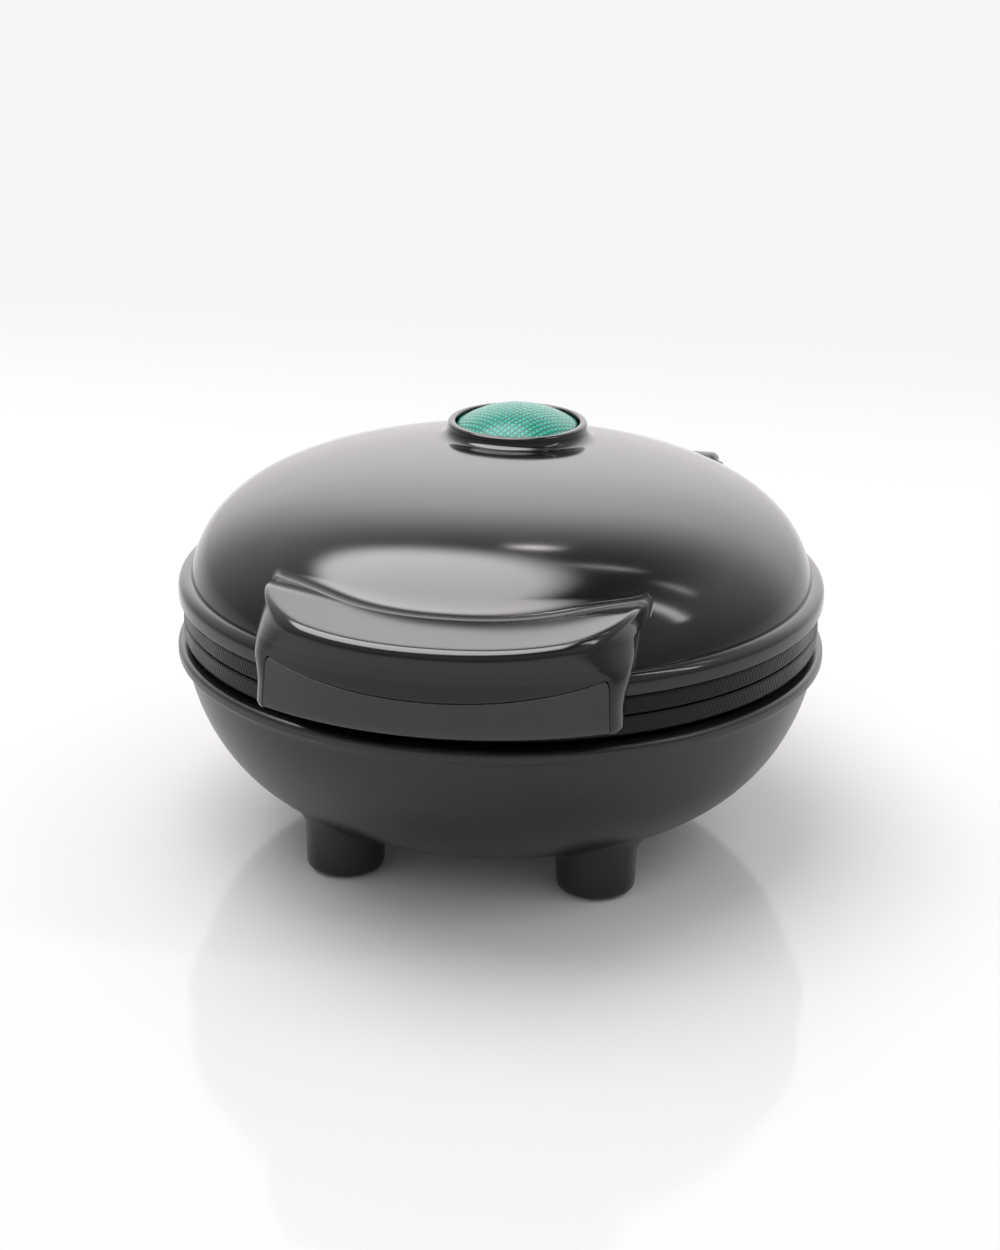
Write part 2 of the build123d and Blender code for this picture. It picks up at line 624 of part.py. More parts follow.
def lens_ring():
    outer = LENS_HOLE_R + LENS_RING_W
    ring = cylinder_up(outer, LENS_SEAT_Z, LENS_RING_Z, 0, LENS_Y)
    rim = ring.edges().filter_by(GeomType.CIRCLE).sort_by(Axis.Z)[-1]
    ring = fillet(rim, 0.6)
    base_z = DOME_TOP_Z - 0.4
    flare = Pos(0, LENS_Y, base_z - 2) * Solid.make_cone(outer + LENS_RING_FLARE + 2, outer - 0.3, 3.6)
    return ring + flare


def lid_sleeve_points():
    return [
        (0, HINGE_Y, HINGE_Z),
        (SLEEVE_SIDE_X, HINGE_Y, HINGE_Z),
        (SLEEVE_SIDE_X, PLATE_PAN_R - 1, UPPER_BACK_Z + SLEEVE_R + 1.2),
        (0, ELEMENT_R + 14, UPPER_BACK_Z + SLEEVE_R + 1.0),
        (0, ELEMENT_TAIL_END_Y + 6, UPPER_BACK_Z + SLEEVE_R + 0.3),
    ]


def lid_sleeve_radii():
    return [SLEEVE_SIDE_X - 0.6, 8.0, 10.0]


def knuckles():
    arm_front = DOME_R - 8
    solid = None
    for side in (-1, 1):
        x0, x1 = sorted((side * KNUCKLE_IN, side * KNUCKLE_OUT))
        part = rod_x(BARREL_R, x0, x1)
        part += block(x0, x1, arm_front, HINGE_Y, LIP_Z, HINGE_Z + BARREL_R)
        s0, s1 = sorted((side * (STOP_IN + 0.4), side * (STOP_OUT - 0.4)))
        part += barrel_sector(BARREL_R - 1, HEEL_R, HEEL_LOW_ANGLE, HEEL_HIGH_ANGLE, s0, s1)
        part -= cylinder_up(PLATE_R + PLATE_GAP, 0, LIP_Z)
        bore = sorted((side * PIN_IN, side * (KNUCKLE_OUT + 1)))
        part -= rod_x(PIN_R + PIN_PLAY, *bore)
        solid = part if solid is None else solid + part
    return solid


def lid_cover():
    outer = dome_solid(0) - cylinder_up(DOME_R + 1, DOME_BASE_Z - 1, LIP_Z)
    cover = outer + rounded_ring(DOME_R - 5, LIP_R, LIP_Z, LIP_Z + LIP_H, 0.4, LIP_ROUND)
    hood = handle_block() - handle_cavity()
    hood -= cylinder_up(PLATE_R + PLATE_GAP, 0, LIP_Z)
    window = Pos(0, -HANDLE_REACH) * Rectangle(2 * (HANDLE_HALF_W - GRIP_SIDE_WALL), 200)
    grip_slot = handle_plan(0) & window
    slot = Pos(0, 0, HANDLE_BOTTOM_Z - 1) * extrude(grip_slot, amount=20) & seam_solid(0)
    hood -= slot
    cover += hood
    cover += lens_ring()
    cover += knuckles()
    inside = dome_solid(LID_WALL) - lens_seat()
    keep = ledges() + holder_bosses()
    cover -= inside - keep
    cover -= cylinder_up(DOME_R - LID_WALL, LIP_Z - 1, LIP_Z + 0.01)
    cover -= cylinder_up(LENS_HOLE_R, LENS_SEAT_Z - 5, LENS_TOP_Z + 1, 0, LENS_Y)
    for side in (-1, 1):
        cover -= cylinder_up(HOLDER_SCREW_R + THREAD_PLAY, 0, LENS_SEAT_Z + 1.3, side * HOLDER_EAR_X, LENS_Y)
    boss_z = LIP_Z + TAB_T + TAB_PLAY
    cover -= block(
        -TAB_HALF_W - TAB_PLAY, TAB_HALF_W + TAB_PLAY,
        -TAB_REACH - TAB_PLAY, -DOME_R + 6, HANDLE_BOTTOM_Z, boss_z,
    )
    screw_top = handle_screw_seat() + HANDLE_SCREW_L
    for side in (-1, 1):
        place = Pos(side * HANDLE_SCREW_X, HANDLE_SCREW_Y)
        cover += place * cylinder_up(HANDLE_BOSS_R, boss_z, HANDLE_TOP_Z - 1)
        cover -= place * cylinder_up(HANDLE_SCREW_R + THREAD_PLAY, boss_z - 1, screw_top + 0.6)
    cover -= tube(lid_sleeve_points(), lid_sleeve_radii(), SLEEVE_R + 0.3)
    return cover


def lens_seat():
    return cylinder_up(LENS_FLANGE_R + 1.5, LENS_SEAT_Z, DOME_TOP_Z, 0, LENS_Y)


def ledges():
    """Two ledges at the back of the lid that the plate's hooks slide over."""
    solid = None
    y0 = ledge_y()
    for x0, x1 in hook_spots():
        ledge = block(x0, x1, y0, DOME_R, LIP_Z + HOOK_GAP, LIP_Z + HOOK_RISE - HOOK_GAP)
        solid = ledge if solid is None else solid + ledge
    return solid & dome_solid(0)


def holder_bosses():
    solid = None
    for side in (-1, 1):
        boss = cylinder_up(HOLDER_EAR_R, LENS_SEAT_Z - LENS_FLANGE_T, DOME_TOP_Z, side * HOLDER_EAR_X, LENS_Y)
        solid = boss if solid is None else solid + boss
    return solid & dome_solid(0)


# Matte grip that closes the handle from below.
def handle_grip():
    half = HANDLE_HALF_W - GRIP_SIDE_WALL - GRIP_GAP
    plan = handle_plan(0) & (Pos(0, -HANDLE_REACH) * Rectangle(2 * half, 200))
    skin = Pos(0, 0, HANDLE_BOTTOM_Z) * extrude(plan, amount=20) & seam_solid(-GRIP_GAP)
    keep_out = Pos(0, 0, HANDLE_BOTTOM_Z + GRIP_FLOOR_T) * extrude(handle_plan(HANDLE_WALL), amount=30)
    skin -= keep_out
    skin -= cylinder_up(LIP_R + GRIP_GAP, 0, 100)
    for side in (-1, 1):
        place = Pos(side * HANDLE_SCREW_X, HANDLE_SCREW_Y)
        skin += place * cylinder_up(HANDLE_BOSS_R, HANDLE_BOTTOM_Z, LIP_Z - 0.05)
        skin -= place * cylinder_up(HANDLE_SCREW_R + SCREW_PLAY, 0, LIP_Z)
        skin -= place * cylinder_up(HANDLE_SCREW_HEAD_R + SCREW_PLAY, 0, handle_screw_seat())
    return skin


def handle_screw_seat():
    """Height of the screw heads' seats, sunk into the grip's floor."""
    return HANDLE_BOTTOM_Z + HANDLE_SCREW_HEAD_T + 0.3


def handle_screws():
    screw = plate_screw(HANDLE_SCREW_R, HANDLE_SCREW_HEAD_R, HANDLE_SCREW_HEAD_T, HANDLE_SCREW_L)
    spots = [(side * HANDLE_SCREW_X, HANDLE_SCREW_Y, handle_screw_seat()) for side in (-1, 1)]
    return group([Pos(*spot) * screw for spot in spots])


# Indicator: domed green lens, lamp holder with its screws and a small neon lamp.
def indicator_lens():
    rise = LENS_TOP_Z - LENS_RIM_Z
    ball_r = (LENS_R ** 2 + rise ** 2) / (2 * rise)
    ball = Pos(0, 0, LENS_TOP_Z - ball_r)
    bottom = LENS_SEAT_Z - LENS_FLANGE_T
    outside = ball * Sphere(ball_r) + cylinder_up(LENS_R, bottom, LENS_RIM_Z - 0.01)
    body = cylinder_up(LENS_R, bottom, LENS_TOP_Z) & outside
    inner_r = LENS_R - LENS_WALL
    inside = ball * Sphere(ball_r - LENS_WALL) + cylinder_up(LENS_R, bottom - 1, LENS_RIM_Z - LENS_WALL)
    hollow = cylinder_up(inner_r, bottom - 1, LENS_TOP_Z) & inside
    flange = cylinder_up(LENS_FLANGE_R, bottom, LENS_SEAT_Z)
    flange -= cylinder_up(inner_r, bottom - 1, LENS_SEAT_Z + 1)
    return Pos(0, LENS_Y, 0) * (body - hollow + flange)


def lamp_holder():
    top = LENS_SEAT_Z - LENS_FLANGE_T
    cup_r = LENS_R - 2
    cup = cylinder_up(LENS_FLANGE_R, top - HOLDER_T, top) + cylinder_up(cup_r, top - HOLDER_H, top)
    for side in (-1, 1):
        cup += cylinder_up(HOLDER_EAR_R, top - HOLDER_T, top, side * HOLDER_EAR_X)
        x0, x1 = sorted((side * LENS_R, side * HOLDER_EAR_X))
        cup += block(x0, x1, -HOLDER_EAR_R, HOLDER_EAR_R, top - HOLDER_T, top)
        cup -= cylinder_up(HOLDER_SCREW_R + SCREW_PLAY, 0, 99, side * HOLDER_EAR_X)
    cup -= cylinder_up(cup_r - HOLDER_T, top - HOLDER_H + HOLDER_T, top + 1)
    lead_hole = rod_y(LAMP_R * 0.7, 0, LENS_FLANGE_R, 0, lamp_z())
    return Pos(0, LENS_Y, 0) * (cup - lead_hole)


def lamp_z():
    return LENS_SEAT_Z - LENS_FLANGE_T - HOLDER_H + HOLDER_T + LAMP_R + 0.02


def lamp_holder_screws():
    screw = plate_screw(HOLDER_SCREW_R, HOLDER_SCREW_R * 1.9, 1.2, HOLDER_T + 2.2)
    seat = LENS_SEAT_Z - LENS_FLANGE_T - HOLDER_T
    return group([Pos(side * HOLDER_EAR_X, LENS_Y, seat) * screw for side in (-1, 1)])


def neon_lamp():
    bulb = rod_y(LAMP_R, LENS_Y - LAMP_L / 2, LENS_Y + LAMP_L / 2, 0, lamp_z())
    ends = bulb.edges().filter_by(GeomType.CIRCLE).sort_by(Axis.Y)
    return fillet(ends[-1], LAMP_R * 0.8)


# Thermostat and thermal fuse, both held on the back of the upper plate.
def thermostat():
    z = UPPER_BACK_Z
    disc = cylinder_up(THERMOSTAT_R, z, z + THERMOSTAT_H)
    disc = fillet(disc.edges().filter_by(GeomType.CIRCLE).sort_by(Axis.Z)[-1], 0.6)
    plan = SlotCenterToCenter(2 * THERMOSTAT_FLANGE_X, 2 * THERMOSTAT_FLANGE_R)
    flange = Pos(0, 0, z) * extrude(plan, amount=THERMOSTAT_FLANGE_T)
    body = disc + flange
    for side in (-1, 1):
        tab_x = side * THERMOSTAT_TAB_X
        half = THERMOSTAT_TAB_W / 2
        body += block(
            tab_x - half, tab_x + half, 0, THERMOSTAT_R + 2, z + THERMOSTAT_H - 0.2, z + THERMOSTAT_H + 0.6
        )
        body -= cylinder_up(THERMOSTAT_SCREW_R + SCREW_PLAY, z - 1, z + 2, side * THERMOSTAT_FLANGE_X)
    return Pos(0, THERMOSTAT_Y, 0) * body


def down_screw(length):
    """Small screw pointing down, seat at Z = 0."""
    return Rot(180, 0, 0) * plate_screw(THERMOSTAT_SCREW_R, THERMOSTAT_SCREW_R * 1.9, 1.4, length)


def thermostat_screws():
    seat = UPPER_BACK_Z + THERMOSTAT_FLANGE_T
    spots = [(side * THERMOSTAT_FLANGE_X, THERMOSTAT_Y) for side in (-1, 1)]
    return group([Pos(x, y, seat) * down_screw(THERMOSTAT_FLANGE_T + 1.6) for x, y in spots])


def thermal_fuse():
    z = UPPER_BACK_Z + FUSE_R
    half = FUSE_L / 2
    body = rod_x(FUSE_R, FUSE_X - half, FUSE_X + half, FUSE_Y, z)
    return body + rod_x(FUSE_LEAD_R, FUSE_X - half - FUSE_LEAD_L, FUSE_X + half + FUSE_LEAD_L, FUSE_Y, z)


def clip_screw_y():
    return FUSE_Y - FUSE_R - FUSE_CLIP_T - 3.0


def fuse_clip():
    z = UPPER_BACK_Z
    bore = FUSE_R + 0.05
    outer = bore + FUSE_CLIP_T
    x0, x1 = FUSE_X - FUSE_CLIP_W / 2, FUSE_X + FUSE_CLIP_W / 2
    hoop = rod_x(outer, x0, x1, FUSE_Y, z + FUSE_R)
    hoop += block(x0, x1, FUSE_Y - outer, FUSE_Y + outer, z, z + FUSE_R)
    hollow = rod_x(bore, x0 - 1, x1 + 1, FUSE_Y, z + FUSE_R)
    hollow += block(x0 - 1, x1 + 1, FUSE_Y - bore, FUSE_Y + bore, z - 1, z + FUSE_R)
    foot = block(x0, x1, clip_screw_y() - 2.6, FUSE_Y - bore, z, z + FUSE_CLIP_T)
    clip = hoop - hollow - block(x0 - 1, x1 + 1, 0, 2 * FUSE_Y, z - 9, z) + foot
    return clip - cylinder_up(THERMOSTAT_SCREW_R + SCREW_PLAY, z - 1, z + 2, FUSE_X, clip_screw_y())


def fuse_clip_screw():
    seat = UPPER_BACK_Z + FUSE_CLIP_T
    return Pos(FUSE_X, clip_screw_y(), seat) * down_screw(FUSE_CLIP_T + 1.6)


# Hinge: two steel pins and the caps that close the ears.
def hinge_pins():
    return group([rod_x(PIN_R, *sorted((side * PIN_IN + side * 0.3, side * PIN_OUT))) for side in (-1, 1)])


def hinge_caps():
    caps = []
    for side in (-1, 1):
        head = rod_x(CAP_R, *sorted((side * EAR_OUT, side * (EAR_OUT + CAP_T))))
        outer = head.edges().filter_by(GeomType.CIRCLE).sort_by(Axis.X)[-1 if side > 0 else 0]
        head = fillet(outer, CAP_T * 0.6)
        caps.append(head + rod_x(PIN_R, *sorted((side * PIN_OUT, side * EAR_OUT))))
    return group(caps)


# Cord inlet and the wiring inside the base.
def cord_gland():
    inner_y = CORD_BOSS_Y - 10
    gland = rod_y(GLAND_R - GLAND_PLAY, inner_y, CORD_BOSS_Y, 0, CORD_Z)
    flange = rod_y(GLAND_FLANGE_R, CORD_BOSS_Y, CORD_BOSS_Y + GLAND_FLANGE_T, 0, CORD_Z)
    rim = flange.edges().filter_by(GeomType.CIRCLE).sort_by(Axis.Y)[-1]
    gland += fillet(rim, GLAND_FLANGE_T * 0.5)
    return gland - rod_y(CORD_BORE_R, inner_y - 1, CORD_BOSS_Y + GLAND_FLANGE_T + 1, 0, CORD_Z)


def terminal_block():
    y0, y1 = BLOCK_Y - BLOCK_D / 2, BLOCK_Y + BLOCK_D / 2
    body = block(-BLOCK_L / 2, BLOCK_L / 2, y0, y1, FLOOR_Z, FLOOR_Z + BLOCK_H)
    body = fillet(body.edges().filter_by(Axis.Z), 1.5)
    for side in (-1, 1):
        x = side * BLOCK_L / 4
        body -= rod_y(BLOCK_PORT_R, BLOCK_Y - BLOCK_D, BLOCK_Y + BLOCK_D, x, PORT_Z)
        body -= cylinder_up(1.6, PORT_Z, FLOOR_Z + BLOCK_H + 1, x, BLOCK_Y)
    return body - cylinder_up(BLOCK_SCREW_R + SCREW_PLAY, 0, 99, 0, BLOCK_Y)


def block_screw():
    screw = Rot(180, 0, 0) * plate_screw(BLOCK_SCREW_R, BLOCK_SCREW_R * 1.9, 1.4, BLOCK_H + 1.2)
    return Pos(0, BLOCK_Y, FLOOR_Z + BLOCK_H) * screw


def lead(points, radius, bend=2.5):
    """Thin wire whose corners all have the same bend."""
    return tube(points, [bend] * (len(points) - 2), radius)


def base_sleeve():
    return tube(base_sleeve_points(), sleeve_radii(), SLEEVE_R)


def lid_sleeve():
    return tube(lid_sleeve_points(), lid_sleeve_radii(), SLEEVE_R)


def terminal_x():
    """X of the element's cold pins."""
    turn = math.radians(90 - ELEMENT_OPEN_ANGLE)
    return (ELEMENT_R - ELEMENT_BEND_R) * math.cos(turn) - ELEMENT_BEND_R


def base_wires():
    """Two leads from the front ports of the block up to the lower element."""
    pin_y = ELEMENT_TAIL_END_Y - PIN_TERMINAL_L
    pin_z = LOWER_BACK_Z - ELEMENT_TUBE_R
    wires = []
    for side in (-1, 1):
        x = side * abs(terminal_x())
        wires.append(lead([
            (side * SLEEVE_SIDE_X, BLOCK_Y - BLOCK_D / 2 + 3, PORT_Z),
            (side * SLEEVE_SIDE_X, BLOCK_Y - BLOCK_D / 2 - 7.5, PORT_Z),
            (x, pin_y - 1.9, pin_z - 8),
            (x, pin_y - 1.9, pin_z),
            (x, pin_y, pin_z),
        ], WIRE_R, 1.6))
    return group(wires)


def lid_wires():
    """Leads from the sleeve to the element and thermostat, and on to the fuse."""
    pin_x = abs(terminal_x())
    pin_y = ELEMENT_TAIL_END_Y - PIN_TERMINAL_L / 2
    start_y = ELEMENT_TAIL_END_Y + 5.7
    start_z = UPPER_BACK_Z + SLEEVE_R + 0.3
    tab_z = UPPER_BACK_Z + THERMOSTAT_H + 0.2
    tab_x = THERMOSTAT_TAB_X + THERMOSTAT_TAB_W / 2 + 0.5
    tab_y = THERMOSTAT_Y + THERMOSTAT_R + 1
    fuse_end = FUSE_X - FUSE_L / 2 - FUSE_LEAD_L
    to_element = lead([
        (WIRE_R + 0.05, start_y, start_z),
        (WIRE_R + 0.05, pin_y, start_z),
        (pin_x - PIN_TERMINAL_R, pin_y, start_z + 0.4),
    ], WIRE_R, 1.6)
    to_thermostat = lead([
        (-WIRE_R - 0.05, start_y, start_z),
        (-WIRE_R - 0.05, pin_y - 4.3, start_z + 0.3),
        (pin_x + 3, CLAMP_BOSS_R + 1.4, start_z + 1.5),
        (pin_x + 3.5, -CLAMP_BOSS_R, tab_z),
        (tab_x, tab_y, tab_z),
    ], WIRE_R, 1.6)
    to_fuse = lead([
        (-tab_x, tab_y, tab_z),
        (-tab_x - 8, tab_y, tab_z - 1),
        (fuse_end - WIRE_R, -1, UPPER_BACK_Z + FUSE_R + 0.5),
        (fuse_end - WIRE_R, FUSE_Y + 0.6, UPPER_BACK_Z + FUSE_R),
    ], WIRE_R, 4.0)
    return group([to_element, to_thermostat, to_fuse])


def lamp_leads():
    """The lamp's two bare leads, bent down to the sleeve."""
    wires = []
    back_y = LENS_Y + LAMP_L / 2
    low_z = UPPER_BACK_Z + 2 * SLEEVE_R + 0.9
    for side in (-1, 1):
        x = side * LAMP_R * 0.37
        wires.append(lead([
            (x, back_y, lamp_z()),
            (x, LENS_Y + LENS_R + 1.5, lamp_z()),
            (x, LENS_Y + LENS_R + 1.5, low_z),
        ], LAMP_LEAD_R, 1.5))
    return group(wires)


def lower_set(piece, height):
    """Place a clamp part, drawn face up, on the back of the lower plate."""
    return Pos(0, 0, LOWER_BACK_Z - height) * Rot(0, 180, 0) * piece


def upper_set(piece, height):
    return Pos(0, 0, UPPER_BACK_Z + height) * piece


def parts():
    turn_over = Rot(0, 180, 0)
    return {
        "base_shell": base_shell(),
        "foot_pads": foot_pads(),
        "lower_plate": lower_plate(),
        "lower_plate_screws": lower_plate_screws(),
        "lower_element": Pos(0, 0, LOWER_BACK_Z) * element(-1),
        "lower_element_clamp": lower_set(element_clamp(), CLAMP_SEAT),
        "lower_heat_shield": lower_set(heat_shield(), SHIELD_SEAT),
        "lower_clamp_screw": lower_set(turn_over * clamp_screw(), SHIELD_SEAT + SHIELD_T),
        "terminal_block": terminal_block(),
        "terminal_block_screw": block_screw(),
        "base_wires": base_wires(),
        "base_wire_sleeve": base_sleeve(),
        "cord_gland": cord_gland(),
        "hinge_pins": hinge_pins(),
        "hinge_caps": hinge_caps(),
        "lid_cover": lid_cover(),
        "handle_grip": handle_grip(),
        "handle_screws": handle_screws(),
        "indicator_lens": indicator_lens(),
        "lamp_holder": lamp_holder(),
        "lamp_holder_screws": lamp_holder_screws(),
        "neon_lamp": neon_lamp(),
        "lamp_leads": lamp_leads(),
        "upper_plate": upper_plate(),
        "upper_element": Pos(0, 0, UPPER_BACK_Z) * element(1),
        "upper_element_clamp": upper_set(element_clamp(), CLAMP_SEAT),
        "upper_heat_shield": upper_set(heat_shield(), SHIELD_SEAT),
        "upper_clamp_screw": upper_set(turn_over * clamp_screw(), SHIELD_SEAT + SHIELD_T),
        "thermostat": thermostat(),
        "thermostat_screws": thermostat_screws(),
        "thermal_fuse": thermal_fuse(),
        "fuse_clip": fuse_clip(),
        "fuse_clip_screw": fuse_clip_screw(),
        "lid_wires": lid_wires(),
        "lid_wire_sleeve": lid_sleeve(),
    }


os.makedirs("parts", exist_ok=True)
for name, solid in parts().items():
    export_step(solid, f"parts/{name}.step")
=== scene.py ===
import math

import bmesh
import bpy
import numpy as np
from mathutils import Matrix, Vector


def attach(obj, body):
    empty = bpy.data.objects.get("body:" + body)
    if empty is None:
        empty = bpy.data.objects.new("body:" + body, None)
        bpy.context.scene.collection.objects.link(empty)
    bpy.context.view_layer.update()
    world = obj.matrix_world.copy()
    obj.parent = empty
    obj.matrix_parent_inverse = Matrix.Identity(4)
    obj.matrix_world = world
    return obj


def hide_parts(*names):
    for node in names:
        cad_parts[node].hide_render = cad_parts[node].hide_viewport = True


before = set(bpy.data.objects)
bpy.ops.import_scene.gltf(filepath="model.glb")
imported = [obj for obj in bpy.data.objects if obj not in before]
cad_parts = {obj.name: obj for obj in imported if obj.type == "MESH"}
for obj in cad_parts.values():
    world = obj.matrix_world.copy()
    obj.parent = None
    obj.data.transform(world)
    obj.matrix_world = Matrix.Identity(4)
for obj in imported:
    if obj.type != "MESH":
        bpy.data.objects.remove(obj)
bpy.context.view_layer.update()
scene = bpy.context.scene

# Camera: a little above the table, in front of the handle and slightly to its right.
# The angles and the distance are the photograph's own, with 1000 x 1250 as the frame.
MM = 0.001
CAMERA_DISTANCE = 529.24
CAMERA_HEIGHT_ANGLE = math.radians(19.95)
CAMERA_SIDE_ANGLE = math.radians(9.8)
CAMERA_ROLL = -0.0135
CAMERA_SHIFT_RIGHT = -0.15
CAMERA_SHIFT_UP = 37.80
CAMERA_LENS = 74.88
SENSOR = 36

back = Vector((
    math.sin(CAMERA_SIDE_ANGLE) * math.cos(CAMERA_HEIGHT_ANGLE),
    -math.cos(CAMERA_SIDE_ANGLE) * math.cos(CAMERA_HEIGHT_ANGLE),
    math.sin(CAMERA_HEIGHT_ANGLE),
))
right = Vector((math.cos(CAMERA_SIDE_ANGLE), math.sin(CAMERA_SIDE_ANGLE), 0))
up = back.cross(right)
spot = right * CAMERA_SHIFT_RIGHT + up * CAMERA_SHIFT_UP + back * CAMERA_DISTANCE
roll_right = right * math.cos(CAMERA_ROLL) - up * math.sin(CAMERA_ROLL)
roll_up = right * math.sin(CAMERA_ROLL) + up * math.cos(CAMERA_ROLL)
camera_data = bpy.data.cameras.new("camera")
camera_data.sensor_fit = "VERTICAL"
camera_data.sensor_height = SENSOR
camera_data.lens = CAMERA_LENS
camera_data.clip_start = 0.01
camera = bpy.data.objects.new("camera", camera_data)
scene.collection.objects.link(camera)
turn = Matrix((roll_right, roll_up, back)).transposed()
camera.matrix_world = Matrix.Translation(spot * MM) @ turn.to_4x4()
scene.camera = camera
scene.view_settings.view_transform = "Standard"


# Studio: a white sweep behind the table that dims overhead and to the front, a wide round
# soft lamp above and to the left, a slim strip on the right, and a polished pale floor.
# Pairs of (height as a sine, glow) and of (place from front 0 to back 1, glow).
SWEEP_GLOW = (
    (0.0, 0.52), (0.24, 0.76), (0.34, 0.88), (0.57, 1.0), (0.66, 0.86), (0.76, 0.55), (0.84, 0.30),
    (0.92, 0.13), (1.0, 0.10),
)
FRONT_TO_BACK = (
    (0.0, 0.14), (0.50, 0.24), (0.66, 0.36), (0.76, 0.46), (0.82, 0.64), (0.90, 0.94), (1.0, 1.0),
)
SWEEP_STRENGTH = 2.8
SOFTBOX_SPOT = (-0.35, 0.0)
SOFTBOX_EDGE = (0.44, 0.66)
SOFTBOX_STRENGTH = 9.5
# Small lamps: place and half size on the imagined ceiling, and strength.
CEILING_SPOTS = (
    (-0.03, 0.657, 0.08, 0.026, 20.0),
    (0.276, 0.415, 0.20, 0.024, 6.0),
    (0.90, 0.30, 0.34, 0.035, 5.0),
)
CEILING_SPOT_EDGE = (0.3, 1.2)
ROOM_PLAIN = 0.74
ROOM_COLOUR = (0.98, 0.97, 0.975, 1)
MIRRORED_COLOUR = (1.0, 0.965, 0.985, 1)
PAPER_WHITE = (0.935, 0.92, 0.928, 1)
FLOOR_FADE = (0.02, 0.45)
FLOOR_FADE_ROUND = (0.5, 1.1)
FLOOR_COLOUR = (0.80, 0.785, 0.79, 1)
FLOOR_ROUGH = 0.09
FLOOR_GLOSS = 0.10
FLOOR_HALF = 6.0


def maths(tree, kind, *values):
    """Maths node with numbers or sockets as its inputs. Gives back its output."""
    node = tree.nodes.new("ShaderNodeMath")
    node.operation = kind
    for socket, value in zip(node.inputs, values):
        if isinstance(value, (int, float)):
            socket.default_value = value
        else:
            tree.links.new(value, socket)
    return node.outputs[0]


def span(tree, value, low, high, to_low=0.0, to_high=1.0):
    """Smooth step of a value from one range into another."""
    node = tree.nodes.new("ShaderNodeMapRange")
    node.interpolation_type = "SMOOTHSTEP"
    tree.links.new(value, node.inputs["Value"])
    for name, number in (("From Min", low), ("From Max", high), ("To Min", to_low), ("To Max", to_high)):
        node.inputs[name].default_value = number
    return node.outputs[0]


def grey_ramp(tree, value, stops):
    """Grey ramp of a value from pairs of (place, grey), the first at 0 and the last at 1."""
    node = tree.nodes.new("ShaderNodeValToRGB")
    stop = node.color_ramp.elements
    for place, grey in stops:
        if place == stops[0][0]:
            element = stop[0]
        elif place == stops[-1][0]:
            element = stop[len(stop) - 1]
        else:
            element = stop.new(place)
        element.color = (grey, grey, grey, 1)
    tree.links.new(value, node.inputs[0])
    return node.outputs[0]


world = bpy.data.worlds.new("room")
world.use_nodes = True
scene.world = world
tree = world.node_tree
nodes = tree.nodes
links = tree.links
nodes.clear()
where = nodes.new("ShaderNodeTexCoord")
parts = nodes.new("ShaderNodeSeparateXYZ")
links.new(where.outputs["Generated"], parts.inputs[0])
height = maths(tree, "MAXIMUM", parts.outputs["Z"], 0.05)
sweep = maths(tree, "MULTIPLY", grey_ramp(tree, parts.outputs["Z"], SWEEP_GLOW),
              grey_ramp(tree, maths(tree, "MULTIPLY_ADD", parts.outputs["Y"], 0.5, 0.5), FRONT_TO_BACK))
ceiling_x = maths(tree, "DIVIDE", parts.outputs["X"], height)
ceiling_y = maths(tree, "DIVIDE", parts.outputs["Y"], height)


def glow_on_ceiling(x, y, half_x, half_y, edge, strength):
    """Soft oval of light on an imagined ceiling one unit up."""
    across = maths(tree, "DIVIDE", maths(tree, "SUBTRACT", ceiling_x, x), half_x)
    along = maths(tree, "DIVIDE", maths(tree, "SUBTRACT", ceiling_y, y), half_y)
    off = maths(tree, "SQRT", maths(tree, "ADD", maths(tree, "MULTIPLY", across, across),
                                    maths(tree, "MULTIPLY", along, along)))
    return span(tree, off, *edge, strength, 0.0)


mirrored = maths(tree, "ADD", maths(tree, "MULTIPLY", sweep, SWEEP_STRENGTH),
                 glow_on_ceiling(*SOFTBOX_SPOT, 1.0, 1.0, SOFTBOX_EDGE, SOFTBOX_STRENGTH))
for x, y, half_x, half_y, strength in CEILING_SPOTS:
    spot_glow = glow_on_ceiling(x, y, half_x, half_y, CEILING_SPOT_EDGE, strength)
    mirrored = maths(tree, "ADD", mirrored, spot_glow)
seen = nodes.new("ShaderNodeLightPath")
plain = nodes.new("ShaderNodeBackground")
plain.inputs["Color"].default_value = ROOM_COLOUR
plain.inputs["Strength"].default_value = ROOM_PLAIN
glossy = nodes.new("ShaderNodeBackground")
glossy.inputs["Color"].default_value = MIRRORED_COLOUR
links.new(mirrored, glossy.inputs["Strength"])
paper = nodes.new("ShaderNodeBackground")
paper.inputs["Color"].default_value = PAPER_WHITE
blend_gloss = nodes.new("ShaderNodeMixShader")
links.new(seen.outputs["Is Glossy Ray"], blend_gloss.inputs[0])
links.new(plain.outputs[0], blend_gloss.inputs[1])
links.new(glossy.outputs[0], blend_gloss.inputs[2])
blend_room = nodes.new("ShaderNodeMixShader")
links.new(seen.outputs["Is Camera Ray"], blend_room.inputs[0])
links.new(blend_gloss.outputs[0], blend_room.inputs[1])
links.new(paper.outputs[0], blend_room.inputs[2])
world_out = nodes.new("ShaderNodeOutputWorld")
links.new(blend_room.outputs[0], world_out.inputs[0])


def soft_lamp(name, place, target, width, length, watts):
    """Flat lamp that faces its target."""
    data = bpy.data.lights.new(name, "AREA")
    data.shape = "RECTANGLE"
    data.size = width
    data.size_y = length
    data.energy = watts
    lamp = bpy.data.objects.new(name, data)
    scene.collection.objects.link(lamp)
    lamp.location = place
    lamp.rotation_euler = (Vector(target) - Vector(place)).to_track_quat("-Z", "Y").to_euler()
    return lamp


